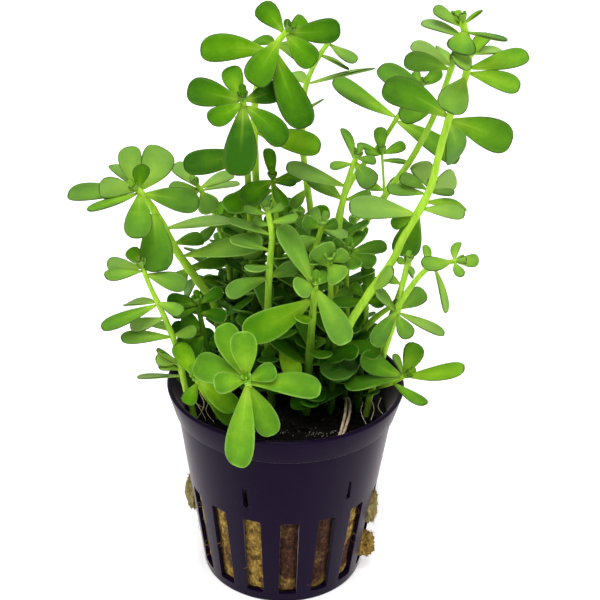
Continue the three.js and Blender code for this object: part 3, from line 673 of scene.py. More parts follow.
def make_crumb(size, pale):
    """A small angular crumb, laid on the plug's top."""
    if pale and chance.random() < FRONT_SHARE:
        place = Vector((chance.uniform(*FRONT_ACROSS), chance.uniform(*FRONT_BACK), 0)) * MM
    else:
        angle = chance.uniform(-math.pi, math.pi)
        outwards = Vector((math.cos(angle), math.sin(angle), 0))
        place = outwards * top_radius * math.sqrt(chance.random()) * TOP_SHARE
    bpy.ops.mesh.primitive_ico_sphere_add(subdivisions=1, radius=size / 2)
    crumb = bpy.context.object
    seed = chance.uniform(0, 50)
    lift = CRUMB_LIFT + bump_at(place, TOP_CRUMB, 11) * CRUMB_FOLLOW
    for vertex in crumb.data.vertices:
        vertex.co *= 1 + CRUMB_ROUGHNESS * bump_at(vertex.co, size / 2, seed)
        vertex.co += place + Vector((0, 0, PLUG_TOP + lift))
    kind = crumb.data.attributes.new("pale", "FLOAT", "POINT")
    kind.data.foreach_set("value", [float(pale)] * len(crumb.data.vertices))
    return crumb


crumbs = [make_crumb(chance.uniform(*CRUMB_SIZE) * MM, False) for count in range(CRUMB_COUNT)]
crumbs += [make_crumb(chance.uniform(*PALE_SIZE) * MM, True) for count in range(PALE_COUNT)]
grit_layer = join(crumbs)
grit_layer.name = "grit"
stone, shader, shade, place = new_material("grit")
pale = shade.add("Attribute", {"attribute_name": "pale"}, output=2)
shadow = place.grain(0.7)
dark_grain = shade.mix(shadow.step(0.4, 0.65), GRIT_DARK, GRIT_BROWN)
feed(
    shader, Base_Color=shade.mix(pale, dark_grain, GRIT_PALE), Roughness=0.55 + 0.3 * shadow,
    Normal=place.grain(0.3).bump(0.4, 0.1 * MM), Specular_IOR_Level=WOOL_GLOSS,
)
coat(grit_layer, stone)
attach(grit_layer, "root")


# Dead root. A withered pale strap, split into two strands, that arches over the front right of the
# plug, with thin dried roots near it and along the left of the rim.

ROOT_ARCH = [
    (12.4, -17, 44.4),
    (13.3, -14.6, 45.9),
    (14.1, -11, 47),
    (14.4, -7, 47.1),
    (14.4, -3, 46.3),
    (14.2, 0.5, 44.6),
]
STRAND_THICKNESS = 0.65 * MM
STRAND_GAP = 0.7 * MM
STRAND_RIPPLE = 0.15 * MM
THIN_ROOTS = [
    [(191, 396, -10), (197, 404, -12), (203, 414, -14), (206, 421, -15)],
    [(199, 392, -9), (204, 403, -12), (201, 413, -14), (196, 419, -14)],
    [(186, 388, -8), (192, 400, -11), (204, 408, -12)],
    [(210, 400, -10), (206, 411, -13), (214, 422, -15)],
    [(371, 399, -8), (374, 409, -11), (371, 420, -14)],
    [(363, 402, -8), (361, 412, -12), (366, 424, -16)],
    [(381, 398, -6), (378, 407, -10), (383, 414, -12)],
]
THIN_ROOT_THICKNESS = 0.2 * MM
THIN_ROOT_TAPER = 0.5
ROOT_TAN = (0.42, 0.30, 0.19)
ROOT_PALE = (0.62, 0.52, 0.38)
ROOT_STREAK = (0.16, 0.09, 0.05)


def smooth_line(places, steps):
    """The places joined by a smooth line that passes through each."""
    line = []
    for index in range(len(places) - 1):
        before = places[max(index - 1, 0)]
        after = places[min(index + 2, len(places) - 1)]
        for step in range(steps):
            s = step / steps
            line.append(tuple(
                b + 0.5 * s * (c - a + s * (2 * a - 5 * b + 4 * c - d + s * (3 * (b - c) + d - a)))
                for a, b, c, d in zip(before, places[index], places[index + 1], after)
            ))
    line.append(tuple(places[-1]))
    return line


arch = [Vector(point) * MM for point in smooth_line(ROOT_ARCH, 5)]
strands = []
for side in (-0.5, 0.5):
    points = []
    sizes = []
    for index, point in enumerate(arch):
        share = index / (len(arch) - 1)
        spread = side * STRAND_GAP * (0.9 + 0.5 * math.sin(math.pi * share))
        ripple = STRAND_RIPPLE * math.sin(5 * share + 2 * side)
        points.append(point + Vector((spread, 0, ripple)))
        sizes.append(STRAND_THICKNESS * (0.8 + 0.3 * abs(math.sin(0.9 * index + side))))
    strands.append(tube("dead_root_strap", points, sizes, sides=8))
for places in THIN_ROOTS:
    points = [spot(*place) for place in smooth_line(places, 4)]
    shares = [index / len(points) for index in range(len(points))]
    sizes = [THIN_ROOT_THICKNESS * (1 - THIN_ROOT_TAPER * share) for share in shares]
    strands.append(tube("thin_root", points, sizes, sides=6))
dead_root = join(strands)
dead_root.name = "dead_roots"
bpy.ops.object.shade_smooth()
withered, shader, shade, place = new_material("withered_root")
streak = place.scaled(1, 0.15, 0.4).grain(0.35, detail=5, roughness=0.7)
blotch = place.grain(2)
tint = shade.mix(streak.step(0.38, 0.62), ROOT_TAN, ROOT_PALE)
tint = shade.mix(blotch.step(0.55, 0.75) * 0.7, tint, ROOT_STREAK)
feed(shader, Base_Color=tint, Roughness=0.62 + 0.25 * blotch, Normal=streak.bump(0.6, 0.12 * MM))
coat(dead_root, withered)
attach(dead_root, "root")
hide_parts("dead_root")


# Tall shoots. Every shoot is one growth: a juicy round stem, thicker where its leaves sit, with
# smooth spoon-shaped leaves in pairs, and a bud at its tip. These reach highest, in the middle.

STEM_THICKNESS = 2
STEM_STEPS = 4
STEM_SIDES = 8
STEM_ROOTED = 0.8 * MM
TIP_THICKNESS = 0.62
BUD_LENGTH = 1.1 * MM
BUD_THICKNESS = 0.35
JOINT_SWELL = 0.16
JOINT_REACH = 0.8 * MM
LEAF_SLENDERNESS = 0.46
LEAF_THICKNESS = 1.0 * MM
LEAF_BREADTH = 1.13
LEAF_ARCH = 0.015
LEAF_CUP = (0.02, 0.2)
LEAF_TWIST = 0.25
LEAF_SWAY = 0.05
LEAF_START = 0.24
TONE_SPREAD = 0.1
BIG_LEAF = 8.5 * MM
# Each row has a place along a leaf, and how wide and how thick the leaf is there.
SPOON_LEAF = [
    (0, 0.15, 0.5), (0.12, 0.3, 0.7), (0.3, 0.6, 0.9), (0.5, 0.87, 1), (0.7, 1, 1),
    (0.86, 0.94, 0.85), (0.955, 0.68, 0.65), (1, 0.3, 0.35),
]
GROOVE = 0.35
# A pair's length in mm, its turn about the stem and its lift from square, both in degrees.
YOUNG_LEAVES = [(2.9, 90, 52), (2.1, 0, 68)]
YOUNG_TONE = 0.15
PAIRS_APART = 11
PAIR_LIFT = 34
PAIR_TURN = 30
PAIR_LENGTH = 9.5
PAIR_SLENDERNESS = (0.46, 0.56)
# The small pairs inside the plant are a darker green, partly painted shade, with less painted sheen than
# their shoot.
PAIR_TONE = 0.26
PAIR_TONE_SPREAD = 0.15
PAIR_PAINTED_SHEEN = 0.3
LEAF_DEEP = (0.024, 0.108, 0.002)
LEAF_MIDDLE = (0.090, 0.262, 0.003)
LEAF_BRIGHT = (0.248, 0.485, 0.010)
# The pale grey-green of the painted sheen, which stands for white light reflected from the leaves.
LEAF_PAINTED_SHEEN = (0.290, 0.420, 0.130)
LEAF_EDGE = (0.035, 0.050, 0.012)
LEAF_RIM_HIGHLIGHT = (0.360, 0.600, 0.110)
MIDRIB = (0.380, 0.580, 0.050)
LEAF_BACK = (0.200, 0.340, 0.060)
STEM_LIME = (0.400, 0.660, 0.050)
STEM_GREEN = (0.210, 0.470, 0.014)
SHADED_GREEN = (0.010, 0.072, 0.001)
LEAF_GLOSS = 0.05
# From where to where the painted pale rim and the painted shade of the thicket come in: across, up, out
# from the middle, and by tone.
PALE_RIM_HIGHLIGHT_ACROSS = (22 * MM, 17 * MM)
PALE_RIM_HIGHLIGHT_HEIGHT = (98 * MM, 90 * MM)
THICKET_RADIUS = (27 * MM, 18 * MM)
THICKET_HEIGHT = (88 * MM, 54 * MM)
THICKET_TONE = (0.85, 0.7)


def model_leaf(name, stations, smoothing):
    """A leaf one unit long, drawn out of a ring of eight corners along (place, width, thickness) rows."""
    bpy.ops.object.select_all(action="DESELECT")
    on_edge = (0, math.pi / 2, 0)
    bpy.ops.mesh.primitive_circle_add(vertices=8, radius=1, fill_type="NGON", rotation=on_edge)
    leaf = bpy.context.object
    leaf.name = name
    bpy.ops.object.transform_apply(location=True, rotation=True, scale=True)
    bpy.ops.object.mode_set(mode="EDIT")
    bpy.ops.transform.resize(value=(1, *stations[0][1:]), center_override=(0, 0, 0))
    for (place, width, depth), (next_place, next_width, next_depth) in zip(stations, stations[1:]):
        bpy.ops.mesh.extrude_region_move(TRANSFORM_OT_translate={"value": (next_place - place, 0, 0)})
        growth = (1, next_width / width, next_depth / depth)
        bpy.ops.transform.resize(value=growth, center_override=(next_place, 0, 0))
    pick("verts", lambda vertex: abs(vertex.co.y) < 0.01 and vertex.co.z > 0)
    bpy.ops.transform.resize(value=(1, 1, GROOVE), center_override=(0, 0, 0))
    bpy.ops.mesh.select_all(action="SELECT")
    bpy.ops.mesh.normals_make_consistent(inside=False)
    bpy.ops.object.mode_set(mode="OBJECT")
    places = leaf.data.attributes.new("leaf_place", "FLOAT_VECTOR", "POINT")
    for vertex, place in zip(leaf.data.vertices, places.data):
        width = min(stations, key=lambda row: abs(row[0] - vertex.co.x))[1]
        upper = 0.5 if abs(vertex.co.z) < 0.01 else float(vertex.co.z > 0)
        place.vector = (vertex.co.x, vertex.co.y / width, upper)
    if smoothing:
        apply_modifier(leaf, "SUBSURF", levels=smoothing, render_levels=smoothing)
    bpy.ops.object.shade_smooth()
    return leaf


leaf_pattern = model_leaf("leaf_pattern", SPOON_LEAF, 0)
big_leaf_pattern = model_leaf("big_leaf_pattern", SPOON_LEAF, 1)


def colour_growth(piece, tone, painted_sheen, stem):
    """Notes on each corner how bright its green is, how much painted sheen it has, and whether it is
    stem.
    """
    growth = piece.data.attributes.new("growth", "FLOAT_VECTOR", "POINT")
    growth.data.foreach_set("vector", [tone, painted_sheen, stem] * len(piece.data.vertices))


def lay_leaf(foot, tip, face, width, tone, painted_sheen):
    """A leaf from foot to tip with its upper side to the face, a little cupped, twisted and swayed."""
    reach = tip - foot
    length = reach.length
    leaf = copy_of(big_leaf_pattern if length > BIG_LEAF else leaf_pattern)
    side = face.cross(reach).normalized()
    cup = chance.uniform(*LEAF_CUP)
    twist = chance.uniform(-LEAF_TWIST, LEAF_TWIST)
    sway = chance.uniform(-LEAF_SWAY, LEAF_SWAY)
    for vertex in leaf.data.vertices:
        along, across, up = vertex.co
        turn = twist * along
        out = side * math.cos(turn) + face * math.sin(turn)
        above = face * math.cos(turn) - side * math.sin(turn)
        rise = LEAF_ARCH * length * 4 * along * (1 - along) + cup * (across * across - 0.6) * width / 2
        vertex.co = foot + reach * along + side * (sway * length * math.sin(math.pi * along))
        vertex.co += out * (across * width / 2) + above * (up * LEAF_THICKNESS / 2 + rise)
    colour_growth(leaf, tone + chance.uniform(-TONE_SPREAD, TONE_SPREAD), painted_sheen, 0)
    return leaf


def lay_seen_leaf(foot, tip, seen_width, tone, painted_sheen):
    """A leaf turned about its length, face up, until it shows the width that is seen."""
    reach = tip - foot
    along = reach.normalized()
    line = ((foot + tip) / 2 - eye).normalized()
    seen_side = line.cross(along).normalized()
    seen_face = seen_side.cross(along)
    width = max(seen_width, LEAF_SLENDERNESS * reach.length)
    turn = math.acos(seen_width / width)
    tilt = -math.sin(turn) if seen_side.z > 0 else math.sin(turn)
    side = seen_side * math.cos(turn) + seen_face * tilt
    return lay_leaf(foot, tip, side.cross(along), width, tone, painted_sheen)


def lay_pair(point, axis, turn, length, lift, thickness, tone, painted_sheen):
    """Two leaves opposite each other on a stem of a thickness in mm."""
    across = Matrix.Rotation(math.radians(turn), 3, axis) @ axis.cross(sight).normalized()
    pair = []
    for way in (1, -1):
        along = across * way * math.cos(math.radians(lift)) + axis * math.sin(math.radians(lift))
        foot = point + along * LEAF_START * thickness * MM
        size = length * MM * chance.uniform(0.9, 1.1)
        face = (axis - along * axis.dot(along)).normalized()
        width = size * chance.uniform(*PAIR_SLENDERNESS)
        pair.append(lay_leaf(foot, foot + along * size, face, width, tone, painted_sheen))
    return pair


def nearest_on_line(line, column, row):
    """The place on a row of picture places that lies nearest to a pixel, and how far off it is."""
    found = (math.inf, line[0])
    for start, end in zip(line, line[1:]):
        run = (end[0] - start[0], end[1] - start[1])
        reached = (column - start[0]) * run[0] + (row - start[1]) * run[1]
        share = min(max(reached / (run[0] ** 2 + run[1] ** 2), 0), 1)
        place = tuple(a + share * (b - a) for a, b in zip(start, end))
        found = min(found, (math.hypot(column - place[0], row - place[1]), place))
    return found


def grow_stem(places, thickness, joints, rooted, tone, painted_sheen):
    """The tube of a stem, with its bud at the tip: gives the tube, its tip and the way it points."""
    points = [spot(*place) for place in places]
    if rooted:
        points[0].z = PLUG_TOP - STEM_ROOTED
    axis = (points[-1] - points[-2]).normalized()
    sizes = []
    for index, point in enumerate(points):
        share = index / (len(points) - 1)
        near = max(math.exp(-((point - joint).length / JOINT_REACH) ** 2) for joint in joints)
        sizes.append(thickness * MM * (1 + (TIP_THICKNESS - 1) * share) * (1 + JOINT_SWELL * near))
    tip = points[-1]
    budded = [*points, tip + axis * BUD_LENGTH]
    stem = tube("stem", budded, [*sizes, thickness * MM * BUD_THICKNESS], STEM_SIDES)
    lowest = min(point.z for point in points)
    highest = max(point.z for point in points)
    places = stem.data.attributes.new("leaf_place", "FLOAT_VECTOR", "POINT")
    for vertex, place in zip(stem.data.vertices, places.data):
        place.vector = ((vertex.co.z - lowest) / (highest - lowest), 0, 0.5)
    colour_growth(stem, tone, painted_sheen, 1)
    return stem, tip, axis


def grow_shoot(
    name, tone, stem, leaves, painted_sheen=0.0, sunlit=0.0, thickness=STEM_THICKNESS, branches=(), filled=(0, 0),
):
    """One shoot, of a tone from dark to bright and a painted sheen, both from 0 to 1, with a thickness in
    mm.
    The tone is partly the green of its own leaves and partly painted light and shade, and the painted
    sheen is a pale grey-green that stands for white light reflected from its leaves. Its stem and
    branches are rows of picture places. A leaf is (foot column, foot row, tip column, tip row, seen width
    in pixels, how much nearer its tip is in mm), and how much brighter than the others it is, partly its
    own green and partly painted light and shade, and how much more painted sheen it has, if it is. Sunlit
    is how much brighter the stems are than the leaves, which lessens the painted shade on them. Filled is
    (lower row, upper row), where the stem has pairs of small leaves PAIRS_APART rows apart, or as many
    rows as a third number says."""
    lines = [smooth_line(line, STEM_STEPS) for line in (stem, *branches)]
    grown = []
    joints = []
    for foot_column, foot_row, tip_column, tip_row, seen_pixels, nearer, *more in leaves:
        brighter, more_painted_sheen = (*more, 0, 0)[:2]
        place = min(nearest_on_line(line, foot_column, foot_row) for line in lines)[1]
        heart = spot(*place)
        joints.append(heart)
        tip = spot(tip_column, tip_row, place[2] - nearer)
        foot = heart.lerp(tip, LEAF_START * thickness * MM / (tip - heart).length)
        seen_width = LEAF_BREADTH * seen_pixels * (foot - eye).length / FOCAL_PIXELS
        grown.append(lay_seen_leaf(foot, tip, seen_width, tone + brighter, painted_sheen + more_painted_sheen))
    lower, upper, apart = (*filled, PAIRS_APART)[:3]
    for row in range(lower, upper, -apart):
        index = min(range(len(lines[0]) - 1), key=lambda i: abs(lines[0][i][1] - row))
        point = spot(*lines[0][index])
        axis = (spot(*lines[0][index + 1]) - point).normalized()
        joints.append(point)
        turn = 90 * (len(joints) % 2) + chance.uniform(-PAIR_TURN, PAIR_TURN)
        size = PAIR_LENGTH * chance.uniform(0.8, 1.2)
        green = PAIR_TONE + chance.uniform(-PAIR_TONE_SPREAD, PAIR_TONE_SPREAD)
        grown += lay_pair(point, axis, turn, size, PAIR_LIFT, thickness, green, painted_sheen * PAIR_PAINTED_SHEEN)
    for line in lines:
        rooted = line is lines[0]
        growing, tip, axis = grow_stem(line, thickness, joints, rooted, tone + sunlit, painted_sheen)
        grown.insert(0, growing)
        for length, turn, lift in YOUNG_LEAVES:
            at_tip = thickness * TIP_THICKNESS
            grown += lay_pair(tip, axis, turn, length, lift, at_tip, tone + YOUNG_TONE, painted_sheen)
    shoot = join(grown)
    shoot.name = name + "_in_leaf"
    coat(shoot, foliage)
    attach(shoot, "root")
    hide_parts(name)


foliage, shader, shade, place = new_material("foliage")
along, across, upper = shade.add("Attribute", {"attribute_name": "leaf_place"}, output=1).parts()
tone, painted_sheen, stem = shade.add("Attribute", {"attribute_name": "growth"}, output=1).parts()
cloud = place.grain(3.5)
cells = place.grain(0.5)
# A leaf is darkest toward its tip and brightest along its middle, where the brightening is a painted
# highlight of light on its cupped face.
green = shade.add("ValToRGB", {"stops": [(0, LEAF_DEEP), (0.5, LEAF_MIDDLE), (1, LEAF_BRIGHT)]}, {
    0: tone + 0.5 * (cloud - 0.5) + 0.15 * (cells - 0.5) - 0.28 * along.step(0.3, 0.95)
    + 0.14 * abs(across).step(0.8, 0.1) + 0.06,
})
# The painted sheen mixes a leaf toward pale grey-green, standing for white light reflected from its face.
green = shade.mix(painted_sheen + 0.25 * (cloud - 0.5) * painted_sheen, green, LEAF_PAINTED_SHEEN)
green = shade.mix((1 - upper) * 0.5, green, LEAF_BACK)
rib = abs(across).step(0.16, 0.02) * along.step(0.75, 0.1) * upper
neck = along.step(0.34, 0.02)
green = shade.mix(rib * 0.25 + neck * 0.55, green, MIDRIB)
# Leaves have a dark edge, but low in the middle of the plant a pale one instead, a painted highlight
# where the edge catches the light.
edge = abs(across).step(0.78, 1.0) * along.step(0.15, 0.5) + along.step(0.955, 1.0)
side, depth, height = place.parts()
pale = abs(side).step(*PALE_RIM_HIGHLIGHT_ACROSS) * height.step(*PALE_RIM_HIGHLIGHT_HEIGHT)
green = shade.mix(edge * (0.9 - 0.5 * pale), green, shade.mix(pale, LEAF_EDGE, LEAF_RIM_HIGHLIGHT))
streak = place.scaled(1, 1, 0.2).grain(0.7)
lime = shade.mix(streak.step(0.35, 0.7) * 0.6, STEM_LIME, STEM_GREEN)
# Stems take a little of their shoot's painted sheen.
lime = shade.mix(painted_sheen * 0.25, lime, LEAF_PAINTED_SHEEN)
# Stems of the darkest shoots are painted dark green, as painted shade.
lime = shade.mix(tone.step(0.32, 0.22) * 0.8, lime, LEAF_DEEP)
green = shade.mix(stem, green, lime)
# Little light reaches the leaves deep inside the thicket, which are painted a darker green: painted
# shade.
inside = shade.add("VectorMath", {"operation": "LENGTH"}, {0: place.scaled(1, 1, 0)}, output=1)
shaded = inside.step(*THICKET_RADIUS) * height.step(*THICKET_HEIGHT) * tone.step(*THICKET_TONE)
green = shade.mix(shaded * (0.8 + 0.1 * stem), green, SHADED_GREEN)
feed(
    shader, Base_Color=green, Roughness=0.42 + 0.14 * cloud,
    Normal=(cells + 0.6 * cloud - 0.5 * rib).bump(0.25, 0.1 * MM),
    Subsurface_Weight=0.22, Subsurface_Radius=(1.0, 1.6, 0.3), Subsurface_Scale=0.6 * MM,
    Specular_IOR_Level=LEAF_GLOSS,
)

grow_shoot("crown_shoot", tone=0.32, sunlit=0.4, thickness=1.9, filled=(370, 225), stem=[
    (263, 381, 9), (263, 300, 10), (259, 230, 9), (256, 180, 5), (254, 130, 1), (256, 92, 0),
    (262, 68, -1), (273, 48, -2), (286, 32, -3),
], leaves=[
    (284, 33, 259, 5, 20, -2, 0.15), (281, 40, 252, 84, 30, 8), (270, 51, 200, 50, 28, 3, 0.1),
    (274, 48, 306, 128, 31, 7, -0.1), (286, 34, 315, 64, 25, 6, -0.05), (286, 33, 341, 29, 25, -2, -0.15),
    (286, 33, 305, 18, 15, -6, 0.1), (286, 33, 288, 19, 6, 0), (277, 45, 254, 40, 12, -9, 0.2),
    (277, 45, 302, 54, 16, -11, 0.25, 0.2), (254, 131, 321, 148, 26, 2, 0.35),
    (254, 153, 183, 165, 27, 1, -0.15), (254, 130, 244, 118, 14, -12), (258, 210, 265, 197, 14, -12),
])

grow_shoot("high_rosette_shoot", tone=0.28, thickness=1.9, filled=(385, 225), stem=[
    (256, 404, -2), (256, 340, 2.5), (253, 260, 4.5), (250, 205, 4), (248, 180, 1.5), (246, 150, -4),
    (245, 125, -8), (243, 101, -10),
], leaves=[
    (240, 99, 187, 89, 29, 0, -0.05), (240, 103, 209, 121, 21, 7, 0.1), (242, 100, 230, 66, 22, -7, 0.25),
    (244, 100, 281, 88, 23, -6, -0.25), (243, 103, 237, 176, 34, 9, -0.4),
    (245, 104, 285, 143, 26, 6, -0.1),
])

grow_shoot("tall_back_shoot", tone=0.6, painted_sheen=0.3, sunlit=0.25, thickness=1.7, filled=(365, 235), stem=[
    (322, 374, 9), (317, 300, 10), (311, 215, 10), (307, 185, 10), (303, 150, 10), (303, 110, 10),
    (307, 82, 9), (318, 58, 9), (328, 43, 9),
], leaves=[
    (328, 43, 357, 61, 11, 2), (322, 55, 348, 68, 4, -4), (308, 83, 375, 67, 6, -4),
    (308, 83, 290, 72, 12, -12), (303, 112, 318, 102, 8, -13), (303, 150, 290, 140, 12, -13),
    (311, 222, 330, 226, 12, -12), (306, 188, 291, 207, 11, 4),
])

grow_shoot("middle_shoot", tone=0.5, painted_sheen=0.2, sunlit=0.35, thickness=1.7, filled=(372, 235), stem=[
    (330, 384, 5), (334, 300, 2), (338, 238, 0), (343, 200, -1), (350, 174, -2), (356, 158, -3),
], leaves=[
    (355, 160, 343, 128, 9, -5), (356, 158, 376, 160, 9, -3), (354, 164, 330, 167, 8, 2),
    (356, 162, 374, 185, 19, 6, -0.2), (347, 186, 286, 166, 18, 1, 0, 0.15), (343, 200, 308, 172, 20, -6),
    (343, 200, 371, 193, 9, 0),
])

grow_shoot("far_rosette_shoot", tone=0.5, painted_sheen=0.1, sunlit=0.3, thickness=0.9, filled=(360, 305), stem=[
    (352, 374, 12), (350, 330, 13), (347, 280, 13), (356, 240, 14), (370, 219, 14), (382, 203, 14),
    (384, 190, 14), (382, 154, 14),
], leaves=[
    (382, 154, 380, 127, 12, -4), (382, 154, 405, 144, 10, -3), (382, 154, 357, 144, 5, -1),
    (382, 154, 366, 153, 6, 4), (384, 160, 409, 162, 4, -4), (384, 190, 401, 178, 9, -3),
    (384, 190, 366, 184, 9, -5),
])


# Right shoots. Long lime-green stems that lean out to the right, the tallest with big leaves in close
# pairs at its top, and smaller ones with bright leaves low over the rim.

grow_shoot("right_shoot", tone=0.67, painted_sheen=0.05, sunlit=0.25, thickness=2.1, filled=(385, 330), stem=[
    (328, 398, -1), (338, 352, -3.6), (346, 332, -9.8), (353, 318, -12), (371, 291, -13), (393, 260, -10),
    (403, 238, -9.5), (424, 202, -9), (433, 180, -9), (438, 158, -9), (449, 118, -9), (459, 96, -9),
    (466, 75, -9), (469, 50, -9), (463, 24, -9),
], leaves=[
    (463, 28, 434, 7, 9, -2, -0.1, 0.25), (463, 24, 482, 10, 3, -2), (463, 24, 453, 11, 3, -4),
    (466, 38, 421, 22, 12, -2, 0, 0.35), (469, 30, 507, 40, 3.5, 4, -0.45, 0.1),
    (465, 29, 462, 54, 26, 8, -0.1, 0.05), (468, 60, 488, 33, 13, -5, 0.1),
    (469, 54, 501, 49, 9, -6, 0, 0.35), (468, 49, 460, 66, 24, 9, 0.05, 0.25), (467, 68, 529, 54, 21, -2),
    (467, 72, 520, 88, 20, 4), (466, 76, 448, 112, 31, 9, -0.1, 0.2), (449, 117, 383, 86, 30, 3, -0.3),
    (450, 120, 512, 143, 33, 1, -0.15), (449, 121, 456, 161, 26, -10, -0.3),
    (415, 212, 349, 207, 24, 4, -0.1, 0.35), (419, 208, 465, 215, 16, 3, 0.05, 0.35),
    (418, 211, 403, 257, 30, -7, -0.25), (424, 202, 464, 206, 8, -8), (414, 214, 391, 225, 12, 0, -0.2),
    (371, 291, 393, 269, 13, 3, 0.1, 0.3),
])

grow_shoot("right_back_shoot", tone=0.68, painted_sheen=0.3, sunlit=0.25, thickness=1.9, filled=(370, 310), stem=[
    (340, 380, 7), (334, 350, 7), (332, 300, 7), (338, 265, 7), (350, 240, 7), (366, 221, 7),
    (382, 200, 6), (398, 178, 5), (410, 161, 4), (421, 142, 3), (433, 118, 2), (444, 90, 0),
    (452, 66, -1),
], leaves=[
    (451, 64, 411, 44, 15, -2, 0, 0.25), (449, 69, 404, 60, 20, 1, -0.25, -0.15),
    (440, 103, 379, 66, 24, -6, -0.3, -0.2), (436, 104, 399, 116, 18, 1, -0.3, -0.2),
    (452, 66, 442, 48, 12, -11), (390, 188, 404, 184, 10, -10),
])

grow_shoot("right_young_shoot", tone=0.5, painted_sheen=0.1, sunlit=0.4, thickness=1.5, filled=(360, 305), stem=[
    (326, 368, 13), (328, 310, 13), (331, 262, 13), (336, 228, 14), (342, 203, 15), (350, 184, 16),
    (359, 170, 17), (368, 159, 18), (377, 148, 19), (387, 134, 19), (397, 118, 18), (408, 101, 17),
    (420, 86, 16),
], leaves=[
    (395, 116, 333, 79, 17, -2), (394, 119, 459, 161, 23, 4), (420, 86, 415, 71, 8, -3),
    (420, 87, 441, 70, 12, 0), (418, 88, 399, 68, 5, -3),
])

grow_shoot("right_rosette_shoot", tone=0.72, painted_sheen=0.5, thickness=1.6, stem=[
    (370, 379, 8), (390, 320, 6), (402, 286, 4), (409, 262, 3), (413, 240, 2), (419, 212, 1),
    (429, 188, 0),
], leaves=[
    (429, 188, 418, 162, 20, -6, 0.3, 0.2), (429, 190, 456, 176, 22, -6, 0.3, 0.2),
    (429, 192, 454, 193, 6, 3, -0.2, -0.2), (428, 190, 400, 177, 12, 1, -0.25, -0.25),
    (427, 194, 387, 189, 12, 2, -0.25, -0.25),
])

grow_shoot("right_low_shoot", tone=0.66, painted_sheen=0.22, sunlit=0.2, thickness=1.5, stem=[
    (366, 408, -5.5), (385, 350, -9.5), (398, 310, -12), (402, 285, -14), (407, 264, -14),
], branches=[
    [(398, 306, -12.5), (413, 284, -15), (430, 267, -16), (455, 261, -16)],
], leaves=[
    (454, 261, 422, 264, 14, 4, -0.05), (454, 261, 458, 242, 9, -5), (454, 261, 479, 260, 12, 0),
    (454, 261, 462, 276, 9, 5), (428, 268, 426, 245, 8, -4), (436, 270, 447, 313, 7, 3),
    (407, 266, 414, 276, 7, -3), (407, 265, 398, 259, 7, 1), (402, 285, 386, 276, 9, -1),
    (400, 310, 425, 291, 17, -3, -0.25), (399, 312, 445, 334, 12, 3, 0.05, 0.2),
    (398, 314, 411, 337, 15, 7, -0.2), (398, 310, 374, 346, 18, 5, -0.3, -0.1),
    (398, 312, 377, 291, 11, 2, 0, 0.2),
])

grow_shoot("rim_right_shoot", tone=0.6, painted_sheen=0.05, thickness=1.7, stem=[
    (354, 398, 0), (373, 388, -4), (390, 383, -8), (404, 376, -10),
], leaves=[
    (404, 376, 416, 343, 19, -3), (405, 377, 465, 368, 18, 3, 0.15), (403, 377, 346, 387, 16, 6, -0.25),
    (403, 376, 362, 355, 22, 3, -0.2), (396, 390, 425, 405, 9, 9), (404, 376, 394, 354, 6, -2, 0.2, 0.2),
])


# Middle shoots. A thicket of shorter stems over the middle of the plug, whose leaves overlap in every
# direction, with a few broad bright ones in front.

grow_shoot("centre_shoot", tone=0.44, painted_sheen=0.22, sunlit=0.3, thickness=1.8, filled=(385, 300, 23), stem=[
    (272, 402, -2), (268, 340, -6), (268, 300, -9), (270, 260, -11), (272, 235, -12), (268, 213, -12),
], leaves=[
    (271, 222, 298, 218, 8, 3), (271, 226, 253, 219, 8, -2), (272, 235, 228, 219, 9, -2),
    (269, 214, 243, 208, 8, 1), (269, 213, 283, 205, 8, -4), (271, 250, 230, 240, 8, 2),
    (269, 277, 227, 295, 17, 6), (269, 277, 296, 266, 14, -6), (269, 266, 249, 270, 8, 9),
])

grow_shoot("broad_leaf_shoot", tone=0.46, painted_sheen=0.1, filled=(395, 330, 23), stem=[
    (306, 408, -5), (310, 350, -10), (313, 310, -13), (315, 286, -15),
], leaves=[
    (309, 279, 280, 225, 22, -3, -0.05, 0.1), (313, 281, 297, 291, 22, 11, 0, 0.1),
    (316, 287, 346, 344, 26, 9, 0, 0.05), (306, 298, 244, 335, 32, 8, 0.15, -0.15),
    (316, 318, 299, 321, 13, 8, 0.3, -0.1), (315, 286, 327, 272, 12, -5),
])

grow_shoot("round_leaf_shoot", tone=0.55, painted_sheen=0.2, thickness=1.7, filled=(395, 320, 23), stem=[
    (331, 405, -4), (333, 340, -7), (331, 300, -8), (330, 262, -10),
], leaves=[
    (330, 268, 320, 245, 26, 1), (330, 264, 340, 281, 24, 9), (331, 262, 347, 252, 14, 1),
    (331, 300, 352, 292, 12, -4), (331, 300, 318, 306, 10, 4),
])

grow_shoot("upper_middle_shoot", tone=0.44, painted_sheen=0.28, thickness=1.6, filled=(375, 260), stem=[
    (306, 384, 4), (305, 320, 0), (310, 270, -3), (318, 240, -5), (322, 226, -6),
], leaves=[
    (322, 228, 303, 220, 13, 1, -0.2, -0.2), (322, 228, 338, 222, 11, 1, -0.2, -0.2),
    (322, 226, 313, 208, 10, -5), (322, 228, 347, 236, 9, 3, 0.1, 0.1), (318, 238, 294, 246, 14, 4),
    (316, 244, 330, 250, 10, -5),
])

grow_shoot("cross_shoot", tone=0.3, painted_sheen=0.1, thickness=1.7, filled=(380, 305, 23), stem=[
    (344, 390, 2), (346, 330, -1), (346, 290, -3), (348, 252, -4),
], leaves=[
    (348, 250, 387, 246, 13, 0), (348, 254, 376, 262, 14, 5), (348, 252, 363, 231, 11, -5),
    (348, 252, 333, 240, 9, -1), (347, 258, 356, 268, 16, 9), (347, 284, 330, 280, 9, 3),
])

